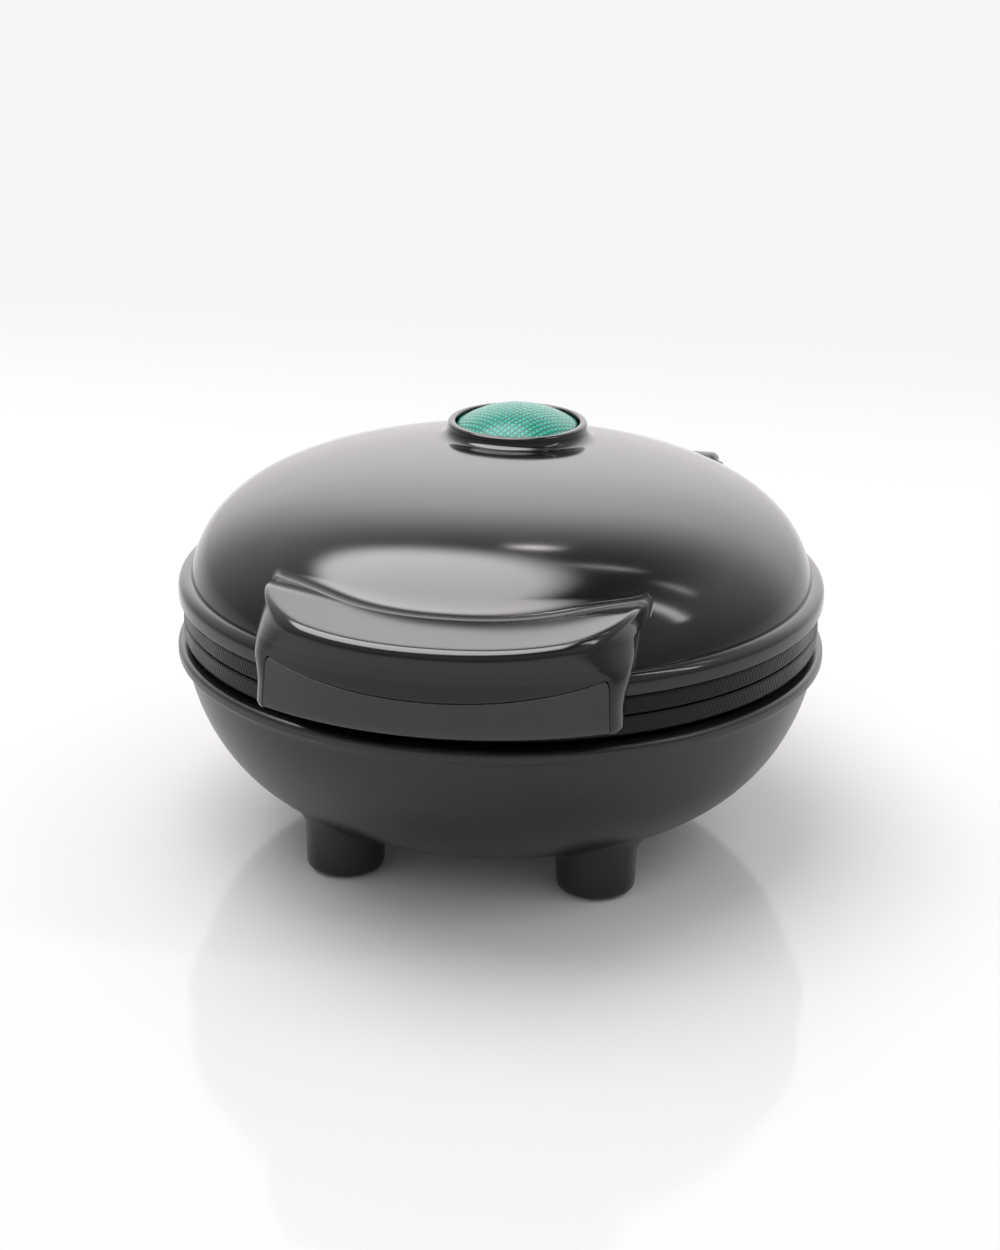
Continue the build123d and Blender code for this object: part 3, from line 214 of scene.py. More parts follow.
overhead = soft_lamp("overhead_softbox", (-0.30, 0.05, 1.05), (-0.02, 0, 0.05), 0.9, 0.9, 7.0)
overhead.visible_glossy = False
soft_lamp("right_strip", (0.75, -0.10, 0.75), (0, 0, 0.05), 0.08, 0.6, 1.2)

bm = bmesh.new()
bmesh.ops.create_grid(bm, x_segments=1, y_segments=1, size=FLOOR_HALF)
floor_mesh = bpy.data.meshes.new("floor")
bm.to_mesh(floor_mesh)
bm.free()
floor = bpy.data.objects.new("floor", floor_mesh)
scene.collection.objects.link(floor)
floor_skin = bpy.data.materials.new("floor_paper")
floor_skin.use_nodes = True
tree = floor_skin.node_tree
nodes = tree.nodes
links = tree.links
gloss = nodes["Principled BSDF"]
gloss.inputs["Base Color"].default_value = FLOOR_COLOUR
gloss.inputs["Roughness"].default_value = FLOOR_ROUGH
gloss.inputs["Specular IOR Level"].default_value = FLOOR_GLOSS
glow = nodes.new("ShaderNodeEmission")
glow.inputs["Color"].default_value = PAPER_WHITE
where = nodes.new("ShaderNodeTexCoord")
axes = nodes.new("ShaderNodeSeparateXYZ")
links.new(where.outputs["Object"], axes.inputs[0])
away = nodes.new("ShaderNodeVectorMath")
away.operation = "LENGTH"
links.new(where.outputs["Object"], away.inputs[0])
behind = maths(tree, "MAXIMUM", span(tree, axes.outputs["Y"], *FLOOR_FADE),
               span(tree, away.outputs["Value"], *FLOOR_FADE_ROUND))
seen = nodes.new("ShaderNodeLightPath")
floor_mix = nodes.new("ShaderNodeMixShader")
links.new(maths(tree, "MULTIPLY", behind, seen.outputs["Is Camera Ray"]), floor_mix.inputs[0])
links.new(gloss.outputs[0], floor_mix.inputs[1])
links.new(glow.outputs[0], floor_mix.inputs[2])
links.new(floor_mix.outputs[0], nodes["Material Output"].inputs[0])
floor.data.materials.append(floor_skin)


# Base shell, bowl and rim: one satin black moulding. The wall is 2.2 mm, its upper edge
# is a rolled bead that stands 1 mm out, and a shallow step runs round under the bead.
RIM_R = 63.5
RIM_TOP = 39.4
RIM_BOTTOM = 36.9
BOWL_CURVE = ((62.3, 39.4), (60.8, 21.7), (48.8, 7.0), (31.0, 7.0))
SHELL_WALL = 2.2
ROUND_STEPS = 288


def bezier(points, steps):
    """Points along a curve from its four control points."""
    t = np.linspace(0, 1, steps)[:, None]
    a, b, c, d = [np.array(q, float) for q in points]
    return (1 - t) ** 3 * a + 3 * t * (1 - t) ** 2 * b + 3 * t ** 2 * (1 - t) * c + t ** 3 * d


def arc(centre, radius, start, end, steps=8):
    """Points (r, z) on a circle, with angles in degrees from the outward direction."""
    a = np.radians(np.linspace(start, end, steps))
    return np.column_stack([centre[0] + radius * np.cos(a), centre[1] + radius * np.sin(a)])


def grid_faces(rows, cols, closed=False):
    """Faces of a grid of points, which may close round on itself."""
    r = np.arange(rows - 1)[:, None]
    c = np.arange(cols if closed else cols - 1)[None, :]
    a = r * cols + c
    b = r * cols + (c + 1) % cols
    return np.stack([a, b, b + cols, a + cols], -1).reshape(-1, 4)


def turned(profile, centre=(0.0, 0.0), steps=ROUND_STEPS):
    """Points and faces of a profile of (r, z) pairs turned about an upright axis."""
    profile = np.asarray(profile, float)
    a = np.linspace(0, 2 * math.pi, steps, endpoint=False)
    x = centre[0] + profile[:, :1] * np.cos(a)
    y = centre[1] + profile[:, :1] * np.sin(a)
    z = np.repeat(profile[:, 1:2], steps, 1)
    points = np.stack([x, y, z], -1).reshape(-1, 3)
    return points, grid_faces(len(profile), steps, closed=True)


def join_shapes(shapes):
    """Several shapes of (points, faces) as one."""
    points, faces, start = [], [], 0
    for p, f in shapes:
        points.append(np.asarray(p, float).reshape(-1, 3))
        faces.extend([[int(i) + start for i in face] for face in f])
        start += len(points[-1])
    return np.concatenate(points), faces


def make_piece(name, shape, skin, body, stands_for=()):
    """New object in the frame from points in mm. It rides a body and may stand for CAD nodes."""
    points, faces = shape
    mesh = bpy.data.meshes.new(name)
    mesh.from_pydata((np.asarray(points) * MM).tolist(), [], [[int(i) for i in f] for f in faces])
    bm = bmesh.new()
    bm.from_mesh(mesh)
    bmesh.ops.remove_doubles(bm, verts=bm.verts, dist=1e-6)
    bmesh.ops.recalc_face_normals(bm, faces=bm.faces)
    bm.to_mesh(mesh)
    bm.free()
    mesh.polygons.foreach_set("use_smooth", [True] * len(mesh.polygons))
    mesh.materials.append(skin)
    piece = bpy.data.objects.new(name, mesh)
    scene.collection.objects.link(piece)
    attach(piece, body)
    if stands_for:
        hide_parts(*stands_for)
    return piece


def surface(name, colour, rough, grain_mm=0.25, grain_depth=0.004, metal=0.0,
            rough_spread=0.06, wear=(0.0, 0.0, 0.0), wear_amount=0.0, coat=0.0, tone=0.12):
    """Plain finish with fine grain, patchy gloss, slight tone changes and rubbed edges."""
    skin = bpy.data.materials.new(name)
    skin.use_nodes = True
    nodes = skin.node_tree.nodes
    links = skin.node_tree.links
    shader = nodes["Principled BSDF"]
    shader.inputs["Metallic"].default_value = metal
    shader.inputs["Coat Weight"].default_value = coat
    shader.inputs["Coat Roughness"].default_value = 0.04
    where = nodes.new("ShaderNodeTexCoord")
    grain = nodes.new("ShaderNodeTexNoise")
    grain.inputs["Scale"].default_value = 1 / (grain_mm * MM)
    grain.inputs["Detail"].default_value = 3
    links.new(where.outputs["Object"], grain.inputs["Vector"])
    bump = nodes.new("ShaderNodeBump")
    bump.inputs["Strength"].default_value = 1.0
    bump.inputs["Distance"].default_value = grain_depth * MM
    links.new(grain.outputs["Fac"], bump.inputs["Height"])
    links.new(bump.outputs["Normal"], shader.inputs["Normal"])
    patches = nodes.new("ShaderNodeTexNoise")
    patches.inputs["Scale"].default_value = 55
    patches.inputs["Detail"].default_value = 6
    links.new(where.outputs["Object"], patches.inputs["Vector"])
    dull = nodes.new("ShaderNodeMapRange")
    dull.inputs["From Min"].default_value = 0.3
    dull.inputs["From Max"].default_value = 0.7
    dull.inputs["To Min"].default_value = max(0.0, rough - rough_spread)
    dull.inputs["To Max"].default_value = rough + rough_spread
    links.new(patches.outputs["Fac"], dull.inputs["Value"])
    links.new(dull.outputs[0], shader.inputs["Roughness"])
    tones = nodes.new("ShaderNodeValToRGB")
    tones.color_ramp.elements[0].position = 0.35
    tones.color_ramp.elements[1].position = 0.65
    tones.color_ramp.elements[0].color = (*[c * (1 - tone) for c in colour], 1)
    tones.color_ramp.elements[1].color = (*[c * (1 + tone) for c in colour], 1)
    links.new(patches.outputs["Fac"], tones.inputs[0])
    last = tones.outputs[0]
    if wear_amount > 0:
        edges = nodes.new("ShaderNodeNewGeometry")
        rubbed = nodes.new("ShaderNodeMapRange")
        rubbed.inputs["From Min"].default_value = 0.53
        rubbed.inputs["From Max"].default_value = 0.62
        rubbed.inputs["To Max"].default_value = wear_amount
        links.new(edges.outputs["Pointiness"], rubbed.inputs["Value"])
        mix = nodes.new("ShaderNodeMix")
        mix.data_type = "RGBA"
        links.new(rubbed.outputs[0], mix.inputs["Factor"])
        links.new(last, mix.inputs["A"])
        mix.inputs["B"].default_value = (*wear, 1)
        last = mix.outputs["Result"]
    links.new(last, shader.inputs["Base Color"])
    return skin


satin_black = surface("satin_black", (0.011, 0.011, 0.0115), 0.29, grain_mm=0.35, grain_depth=0.006,
                      rough_spread=0.03, wear=(0.05, 0.05, 0.05), wear_amount=0.25)

bowl_outer = bezier(BOWL_CURVE, 90)
bowl_low = bowl_outer[bowl_outer[:, 1] < RIM_BOTTOM - 0.5][::-1]
rim_point, *lower_points = BOWL_CURVE
inner_curve = [(rim_point[0] - SHELL_WALL, rim_point[1])]
inner_curve += [(r - SHELL_WALL, z + SHELL_WALL * 0.6) for r, z in lower_points]
bowl_inner = bezier(inner_curve, 50)
shell_profile = np.concatenate([
    [(0.05, 7.0), (12.0, 7.0), (24.0, 7.0)],
    bowl_low,
    arc((62.45, RIM_BOTTOM - 0.2), 0.2, 180, 90, 4),
    arc((RIM_R - 0.6, RIM_BOTTOM + 0.6), 0.6, -90, 0, 7),
    arc((RIM_R - 1.0, RIM_TOP - 1.0), 1.0, 0, 90, 9),
    arc((60.6, RIM_TOP - 0.5), 0.5, 90, 180, 5),
    bowl_inner[2:],
    [(0.05, 9.2)],
])
shell_shapes = [turned(shell_profile)]

# Legs: moulded in one with the bowl, with a slight taper, rounded at the foot and
# flared into the bowl above. Each foot has a pocket for its rubber pad.
LEG_SPOTS = [(-24.4, -31.3), (24.4, -31.3), (-24.4, 36.0), (24.4, 36.0)]
LEG_FOOT_Z = 0.5
LEG_FOOT_R = 7.45
LEG_SLOPE = 0.031
LEG_ROUND = 1.3
LEG_FLARE = 1.9
PAD_R = 5.2
PAD_TOP = 1.5

bowl_r = bowl_outer[::-1, 0]
bowl_z = bowl_outer[::-1, 1]


def bowl_height(x, y):
    """Height of the bowl's outer skin over a point of the table."""
    return np.interp(np.hypot(x, y), bowl_r, bowl_z)


for leg_x, leg_y in LEG_SPOTS:
    a = np.linspace(0, 2 * math.pi, 96, endpoint=False)
    rows = []
    foot = np.concatenate([
        [(0.02, PAD_TOP), (PAD_R + 0.1, PAD_TOP), (PAD_R + 0.1, LEG_FOOT_Z)],
        arc((LEG_FOOT_R - LEG_ROUND, LEG_FOOT_Z + LEG_ROUND), LEG_ROUND, -90, 0, 9),
    ])
    for r, z in foot:
        level = np.full(len(a), z)
        rows.append(np.column_stack([leg_x + r * np.cos(a), leg_y + r * np.sin(a), level]))
    wall_r = LEG_FOOT_R + LEG_SLOPE * 12
    meet = bowl_height(leg_x + wall_r * np.cos(a), leg_y + wall_r * np.sin(a))
    start = np.maximum(meet - LEG_FLARE * 1.3, LEG_FOOT_Z + LEG_ROUND + 0.5)
    for share in np.linspace(0.1, 1, 8):
        z = LEG_FOOT_Z + LEG_ROUND + (start - LEG_FOOT_Z - LEG_ROUND) * share
        r = LEG_FOOT_R + LEG_SLOPE * (z - LEG_FOOT_Z)
        rows.append(np.column_stack([leg_x + r * np.cos(a), leg_y + r * np.sin(a), z]))
    low = rows[-1]
    corner_r = LEG_FOOT_R + LEG_SLOPE * (meet - LEG_FOOT_Z)
    corner = np.column_stack([leg_x + corner_r * np.cos(a), leg_y + corner_r * np.sin(a), meet])
    end_r = corner_r + LEG_FLARE
    end_x = leg_x + end_r * np.cos(a)
    end_y = leg_y + end_r * np.sin(a)
    end = np.column_stack([end_x, end_y, bowl_height(end_x, end_y)])
    for t in np.linspace(0.1, 1, 10):
        rows.append((1 - t) ** 2 * low + 2 * t * (1 - t) * corner + t ** 2 * end)
    shell_shapes.append((np.array(rows).reshape(-1, 3), grid_faces(len(rows), len(a), closed=True)))

# Rear of the base shell: two hinge ears, the bridge between them with the lid's two
# stops, the guard over the wire passage, and the round boss for the cord inlet.
HINGE_Y = 66.5
HINGE_Z = 52.5
BARREL_R = 6.5
EAR_IN = 24.0
EAR_OUT = 36.0
EAR_EDGE_R = 1.5
STOP_IN = 11.6
STOP_OUT = 20.4
GUARD_HALF_W = 8.6
GUARD_WALL = 1.6
GLAND_Z = 22.0


def round_hinge(radius, start, end, steps=20):
    """Points (y, z) on a circle round the hinge axis."""
    a = np.radians(np.linspace(start, end, steps))
    return [(HINGE_Y + radius * math.cos(t), HINGE_Z + radius * math.sin(t)) for t in a]


def slab(outline, x0, x1, edge=0.6, steps=3):
    """Points and faces of an outline of (y, z) pairs between two X values, edges rounded."""
    bm = bmesh.new()
    ring = [bm.verts.new((x0, y, z)) for y, z in outline]
    face = bm.faces.new(ring)
    moved = bmesh.ops.extrude_face_region(bm, geom=[face])["geom"]
    moved = [v for v in moved if isinstance(v, bmesh.types.BMVert)]
    bmesh.ops.translate(bm, verts=moved, vec=(x1 - x0, 0, 0))
    bmesh.ops.recalc_face_normals(bm, faces=bm.faces)
    shared = [e for e in bm.edges if len(e.link_faces) == 2]
    sharp = [e for e in shared if e.calc_face_angle() > math.radians(25)]
    bmesh.ops.bevel(bm, geom=sharp, offset=edge, segments=steps, profile=0.5, affect="EDGES")
    bm.verts.index_update()
    shape = ([tuple(v.co) for v in bm.verts], [[v.index for v in f.verts] for f in bm.faces])
    bm.free()
    return shape


ear_foot = [(60.0, 39.4), (50.3, 37.4), (50.3, 25.4), (61.3, 31.4), (73.0, 43.4)]
ear = ear_foot + round_hinge(BARREL_R, 0, 180)
bridge = [
    (56.5, 38.4), (56.5, 27.4), (62.5, 30.4), (73.0, 38.4), (73.0, 41.5), (62.7, 41.5), (62.7, 38.4),
]
hinge_shapes = [
    slab(ear, -EAR_OUT, -EAR_IN, EAR_EDGE_R, 5),
    slab(ear, EAR_IN, EAR_OUT, EAR_EDGE_R, 5),
    slab(bridge, -EAR_IN - 1, EAR_IN + 1),
]
stop = [(62.7, 41.0), (65.2, 41.0), (65.2, 45.5), (62.7, 45.5)]
hinge_shapes += [slab(stop, -STOP_OUT, -STOP_IN, 0.4), slab(stop, STOP_IN, STOP_OUT, 0.4)]
guard = round_hinge(BARREL_R, -40, 30, 12) + round_hinge(BARREL_R - GUARD_WALL, 30, -40, 12)
guard_foot = [(70.4, 41.0), (73.0, 41.0), (73.0, 49.2), (70.4, 48.6)]
for outline in (guard, guard_foot):
    hinge_shapes.append(slab(outline, -GUARD_HALF_W, GUARD_HALF_W, 0.3))
boss_profile = np.concatenate([
    [(7.6, 43.0)],
    arc((7.0, 60.4), 0.6, 0, 90, 5),
    [(4.6, 61.0), (4.6, 56.0)],
])
boss_points, boss_faces = turned(boss_profile, steps=72)
boss_points = boss_points[:, [0, 2, 1]] * (1, 1, -1) + (0, 0, GLAND_Z)
hinge_shapes.append((boss_points, boss_faces))


def flat_shade_corners(piece, angle=30):
    """Smooth shading that keeps crisp corners."""
    chosen = {"object": piece, "active_object": piece, "selected_objects": [piece]}
    with bpy.context.temp_override(**chosen, selected_editable_objects=[piece]):
        bpy.ops.object.shade_smooth_by_angle(angle=math.radians(angle))


make_piece("base_shell_skin", join_shapes(shell_shapes), satin_black, "base", ["base_shell"])
base_hinge = make_piece("base_hinge_bracket", join_shapes(hinge_shapes), satin_black, "base")
flat_shade_corners(base_hinge)

# Foot pads: soft rubber discs stuck into the legs' pockets, with a shallow dished
# sole and a rounded edge.
rubber = surface("pad_rubber", (0.03, 0.03, 0.03), 0.75, grain_mm=0.4, grain_depth=0.02,
                 rough_spread=0.1)
pad_profile = np.concatenate([
    [(0.02, 0.25), (3.4, 0.22), (3.9, 0.0)],
    arc((PAD_R - 0.45, 0.45), 0.45, -90, 0, 6),
    [(PAD_R, PAD_TOP), (0.02, PAD_TOP)],
])
pads = join_shapes([turned(pad_profile, leg, 48) for leg in LEG_SPOTS])
make_piece("rubber_feet", pads, rubber, "base", ["foot_pads"])

# Cooking plates: cast aluminium under a dark non-stick coat, with a fine pebbled skin.
# Their cast edges show in the gap between lid and base as two bands with faint ribs.
RIB_COUNT = 430
RIB_LEAN = 3100
RIB_DEPTH = 0.02
RIBS_FROM_R = 61.2
RIBS_FULL_R = 61.8
PLATE_GLOSS = 0.16


def coated(name, colour, rough):
    """Non-stick coat with a pebbled skin, and faint leaning ribs on the plate's edge."""
    skin = surface(name, colour, rough, grain_mm=0.5, grain_depth=0.02, rough_spread=0.08,
                   wear=(0.04, 0.04, 0.04), wear_amount=0.25)
    tree = skin.node_tree
    nodes = tree.nodes
    links = tree.links
    shader = nodes["Principled BSDF"]
    shader.inputs["Specular IOR Level"].default_value = PLATE_GLOSS
    where = nodes.new("ShaderNodeTexCoord")
    axes = nodes.new("ShaderNodeSeparateXYZ")
    links.new(where.outputs["Object"], axes.inputs[0])
    x, y, z = axes.outputs
    around = maths(tree, "MULTIPLY", maths(tree, "ARCTAN2", y, x), RIB_COUNT)
    wave = maths(tree, "SINE", maths(tree, "MULTIPLY_ADD", z, RIB_LEAN, around))
    squares = maths(tree, "ADD", maths(tree, "MULTIPLY", x, x), maths(tree, "MULTIPLY", y, y))
    reach = maths(tree, "SQRT", squares)
    outside = nodes.new("ShaderNodeMapRange")
    outside.inputs["From Min"].default_value = RIBS_FROM_R * MM
    outside.inputs["From Max"].default_value = RIBS_FULL_R * MM
    links.new(reach, outside.inputs["Value"])
    ribbed = nodes.new("ShaderNodeBump")
    ribbed.inputs["Distance"].default_value = RIB_DEPTH * MM
    links.new(maths(tree, "MULTIPLY", wave, outside.outputs[0]), ribbed.inputs["Height"])
    links.new(nodes["Bump"].outputs["Normal"], ribbed.inputs["Normal"])
    links.new(ribbed.outputs["Normal"], shader.inputs["Normal"])
    return skin


plate_coat = coated("plate_non_stick", (0.008, 0.008, 0.009), 0.34)


def dress(node, skin):
    """Give a CAD node its finish."""
    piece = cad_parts[node]
    piece.data.materials.clear()
    piece.data.materials.append(skin)


dress("lower_plate", plate_coat)
dress("upper_plate", plate_coat)

# Lid cover: a polished black moulding. The dome, the handle's hood and the fillets where
# they meet are one skin. The hood's top is a shallow crescent whose tips rise a little,
# and its corners grow rounder above the seam to the grip.
DOME_CURVE = ((61.2, 47.1), (61.2, 67.4), (43.3, 75.6), (0.0, 75.6))
DOME_BASE = 47.1
HOOD_ARC_R = 60.0
HOOD_ARC_Y = -14.4
HOOD_HALF_W = 32.3
HOOD_BOTTOM = 46.0
HOOD_TOP = 61.9
HOOD_CLIMB = 0.02
HOOD_TIP_RISE = 2.6
HOOD_TIP_FADES_Y = (-56, -45)
HOOD_TIP_FADE = 0.6
HOOD_FLANK_Z = (46, 49, 52.6, 56, 58, 60, 61.5)
HOOD_FLANK_OUT = (0.75, 0.5, 0.1, -0.25, -0.3, -0.1, 0.0)
HOOD_FLANK_AT_SIDE = 0.6
HOOD_SIDE_SPREAD = 1.7
HOOD_SPREAD_Z = (49, 58.5)
HOOD_RECESS = 0.9
HOOD_RECESS_TOP_Z = (60.8, 59.6)
HOOD_RECESS_Y = -57
HOOD_RECESS_SLANT = 0.4
HOOD_CORNER_LOW_R = 2.3
HOOD_CORNER_MORE_R = 9.5
HOOD_CORNER_Z = (54, 63)
HOOD_ROLL_R = 2.1
HOOD_ROLL_LESS = 1.0
HOOD_ROLL_Y = (-66, -56)
FILLET_SIDE_R = 0.9
FILLET_MORE_R = 1.5
FILLET_HALF_W = 33
SEAM_Z = 52.6
SEAM_RISE = 3.4
INLAY_EDGE_ANGLE = 32.4
LOOK_FROM = (0.0, -18.0, 44.0)
LENS_Y = 16.5
LENS_HOLE_R = 13.0
SEAM_CORNER_R = 1.4
SEAM_REACH = 50
SEAM_TUCK = 0.12
LIP_DEPTH = 1.3
BEAD_R = 62.2
BEAD_COVER = 3.9
LOW_EDGE_TUCK = (0.45, 0.16)
LOW_EDGE_STEP = 0.12
LOW_EDGE_DEPTH = 1.6
LOW_ROWS = 26
HALVINGS = 34

dome_line = bezier(DOME_CURVE, 400)
dome_angle = np.arctan2(dome_line[:, 1] - DOME_BASE, dome_line[:, 0])
dome_reach = np.hypot(dome_line[:, 0], dome_line[:, 1] - DOME_BASE)
dome_lean = np.gradient(dome_reach, dome_angle) / dome_reach
dome_even = 1 / np.sqrt(1 + dome_lean ** 2)


def round_max(a, b, r):
    """Where two solids share space, with an edge of radius r."""
    return np.minimum(-r, np.maximum(a, b)) + np.hypot(np.maximum(r + a, 0), np.maximum(r + b, 0))


def round_min(a, b, r):
    """Two solids joined, with a fillet of radius r."""
    return np.maximum(r, np.minimum(a, b)) - np.hypot(np.maximum(r - a, 0), np.maximum(r - b, 0))


def ease(value, low, high):
    """Smooth step from 0 at low to 1 at high."""
    t = np.clip((value - low) / (high - low), 0, 1)
    return t * t * (3 - 2 * t)


def dome_side(x, y, z):
    """Signed distance, near enough, from the dome."""
    rho = np.hypot(x, y)
    rise = np.maximum(z - DOME_BASE, 0)
    angle = np.arctan2(rise, rho)
    even = np.interp(angle, dome_angle, dome_even)
    return (np.hypot(rho, rise) - np.interp(angle, dome_angle, dome_reach)) * even


def hood_side(x, y, z):
    """Signed distance, near enough, from the handle's hood."""
    flank = np.interp(z, HOOD_FLANK_Z, HOOD_FLANK_OUT)
    across = np.abs(x)
    reach = np.hypot(x, y - HOOD_ARC_Y)
    front = reach - HOOD_ARC_R - flank
    slant = HOOD_RECESS_Y - (60 - z) * HOOD_RECESS_SLANT
    recess = HOOD_RECESS * ease(y, slant, slant + 1.2) * ease(z, *HOOD_RECESS_TOP_Z)
    spread = HOOD_SIDE_SPREAD * ease(z, *HOOD_SPREAD_Z)
    side = across - HOOD_HALF_W - HOOD_FLANK_AT_SIDE * flank - spread + recess
    corner = HOOD_CORNER_LOW_R + HOOD_CORNER_MORE_R * ease(z, *HOOD_CORNER_Z)
    wall = round_max(front, side, corner)
    tip = HOOD_TIP_RISE * np.minimum(across / HOOD_HALF_W, 1.05) ** 3
    tip = tip * (1 - HOOD_TIP_FADE * ease(y, *HOOD_TIP_FADES_Y))
    top = z - (HOOD_TOP + HOOD_CLIMB * np.maximum(HOOD_ARC_R - reach, 0) + tip)
    roll = HOOD_ROLL_R - HOOD_ROLL_LESS * ease(y, *HOOD_ROLL_Y)
    return round_max(wall, top, roll)


def lid_side(x, y, z):
    """Signed distance, near enough, from dome and hood with the fillet between them."""
    fillet = FILLET_SIDE_R + FILLET_MORE_R * np.maximum(1 - (x / FILLET_HALF_W) ** 2, 0)
    return round_min(dome_side(x, y, z), hood_side(x, y, z), fillet)


def find_reach(origin, direction, low=12.0, high=95.0):
    """Distance along each direction at which the lid's skin is met."""
    near = np.full(direction.shape[:-1], low)
    far = np.full(direction.shape[:-1], high)
    for _ in range(HALVINGS):
        middle = (near + far) / 2
        p = origin + direction * middle[..., None]
        inside = lid_side(p[..., 0], p[..., 1], p[..., 2]) < 0
        near = np.where(inside, middle, near)
        far = np.where(inside, far, middle)
    return (near + far) / 2


def skin_at_height(angles, heights):
    """Points of the lid's skin at given angles from the handle and given heights."""
    angles, heights = np.broadcast_arrays(angles, heights)
    direction = np.stack([np.sin(angles), -np.cos(angles), np.zeros_like(angles)], -1)
    origin = np.empty(heights.shape + (3,))
    origin[..., :2] = LOOK_FROM[:2]
    origin[..., 2] = heights
    reach = find_reach(origin, direction)
    return origin + direction * reach[..., None], direction


edge_angle = math.radians(INLAY_EDGE_ANGLE)
front_angles = np.linspace(-edge_angle, edge_angle, 281)
left_angles = np.radians(np.concatenate([
    np.linspace(-180, -62, 150, endpoint=False),
    np.linspace(-62, -INLAY_EDGE_ANGLE, 130, endpoint=False),
]))
right_angles = -left_angles[::-1][:-1]
angles = np.concatenate([left_angles, front_angles, right_angles])
at_front = np.abs(angles) <= edge_angle + 1e-9


def seam_height(angles, corner=SEAM_CORNER_R):
    """Height of the seam between hood and grip, with rounded ends."""
    across = np.abs(SEAM_REACH * np.tan(np.clip(angles, -edge_angle, edge_angle)))
    end = SEAM_REACH * math.tan(edge_angle)
    into = np.clip(across - (end - corner), 0, corner)
    return SEAM_Z + SEAM_RISE * (across / end) ** 2 - (corner - np.sqrt(corner ** 2 - into ** 2 + 1e-9))


rough_wall = skin_at_height(angles, np.full(len(angles), 50.0))[0]
beside_bead = np.hypot(rough_wall[:, 0], rough_wall[:, 1])
above_bead = HOOD_BOTTOM + BEAD_COVER * ease(BEAD_R - beside_bead, 0, 0.8)
bottom = np.where(beside_bead > BEAD_R, HOOD_BOTTOM, above_bead)
seam = seam_height(angles)

low_share = np.linspace(0, 1, LOW_ROWS)
low_heights = bottom[None, :] + (seam - bottom)[None, :] * low_share[:, None]
low_points, low_out = skin_at_height(angles[None, :], low_heights)
low_points[0] -= low_out[0] * LOW_EDGE_TUCK[0]
low_points[1, :, 2] = bottom + LOW_EDGE_STEP
low_points[1] -= low_out[1] * LOW_EDGE_TUCK[1]
under_edge = low_points[0] - low_out[0] * LOW_EDGE_DEPTH

seam_row = low_points[-1].copy()


def rise_of(points):
    """Angle above the level at which points are seen from inside the lid."""
    away = points - np.array(LOOK_FROM)
    return np.arctan2(away[:, 2], np.hypot(away[:, 0], away[:, 1]))


seam_rise = rise_of(seam_row)
even_rise = rise_of(skin_at_height(angles, seam_height(angles, 0.0))[0])
share = np.concatenate([
    [0.0016],
    np.linspace(0.004, 0.10, 40, endpoint=False),
    np.linspace(0.10, 0.32, 105, endpoint=False),
    np.linspace(0.32, 0.9985, 130),
])
settle = np.maximum(1 - share / 0.05, 0) ** 2
climb = even_rise + (math.pi / 2 - even_rise) * share[:, None]
climb = climb + (seam_rise - even_rise) * settle[:, None]
direction = np.stack([
    np.cos(climb) * np.sin(angles), -np.cos(climb) * np.cos(angles), np.sin(climb),
], -1)
inside_lid = np.array(LOOK_FROM)
high_points = inside_lid + direction * find_reach(inside_lid, direction, 8.0)[..., None]

seam_row[at_front] -= low_out[-1][at_front] * SEAM_TUCK
lip_row = seam_row - low_out[-1] * LIP_DEPTH
lid_grid = np.concatenate([[under_edge], low_points[:-1], [seam_row], high_points])
rows, cols = lid_grid.shape[:2]
lid_faces = grid_faces(rows, cols, closed=True)
face_row = lid_faces[:, 0] // cols
face_col = lid_faces[:, 0] % cols
next_front = at_front & np.roll(at_front, -1)
cut = (face_row < LOW_ROWS) & next_front[face_col]
centre = lid_grid.reshape(-1, 3)[lid_faces].mean(1)
under_lens = np.hypot(centre[:, 0], centre[:, 1] - LENS_Y) < LENS_HOLE_R
lid_faces = lid_faces[~cut & ~under_lens]
front_cols = np.where(at_front)[0]
lip_points = lip_row[front_cols]
lip_start = rows * cols
lip_faces = [[LOW_ROWS * cols + c, LOW_ROWS * cols + c + 1, lip_start + i + 1, lip_start + i]
             for i, c in enumerate(front_cols[:-1])]
lid_points = np.concatenate([lid_grid.reshape(-1, 3), lip_points])
edge_faces = []
extra = []
for side_col in (front_cols[0], front_cols[-1]):
    start = len(lid_points) + len(extra)
    column = lid_grid[1:LOW_ROWS + 1, side_col]
    inward = np.array([-math.sin(angles[side_col]), math.cos(angles[side_col]), 0])
    extra.extend(column + inward * LIP_DEPTH)
    for i in range(LOW_ROWS - 1):
        a = (i + 1) * cols + side_col
        edge_faces.append([a, a + cols, start + i + 1, start + i])
lid_points = np.concatenate([lid_points, np.array(extra)])
lid_face_list = [list(f) for f in lid_faces] + lip_faces + edge_faces
top_ring = (rows - 1) * cols
lid_face_list.append([top_ring + c for c in range(cols)])

gloss_black = surface("gloss_black", (0.008, 0.008, 0.0085), 0.12, grain_mm=1.6, grain_depth=0.0010,
                      rough_spread=0.02, tone=0.2)
lid_shape = (lid_points, lid_face_list)
make_piece("lid_dome_and_hood", lid_shape, gloss_black, "lid", ["lid_cover"])

# Lid bead: the rolled lower edge of the same moulding, 2 mm proud of the dome. It runs
# all the way round, also where the handle and the hinge arms cover it.
LIP_Z = 48.55
bead_profile = np.concatenate([
    [(58.8, LIP_Z)],
    arc((62.8, LIP_Z + 0.4), 0.4, -90, 0, 6),
    arc((60.95, LIP_Z + 1.95), 2.25, 0, 88, 16),
    [(60.4, LIP_Z + 4.15), (58.8, LIP_Z + 4.1)],
])
bead_shape = turned(np.vstack([bead_profile, bead_profile[:1]]))
make_piece("lid_bead", bead_shape, gloss_black, "lid")

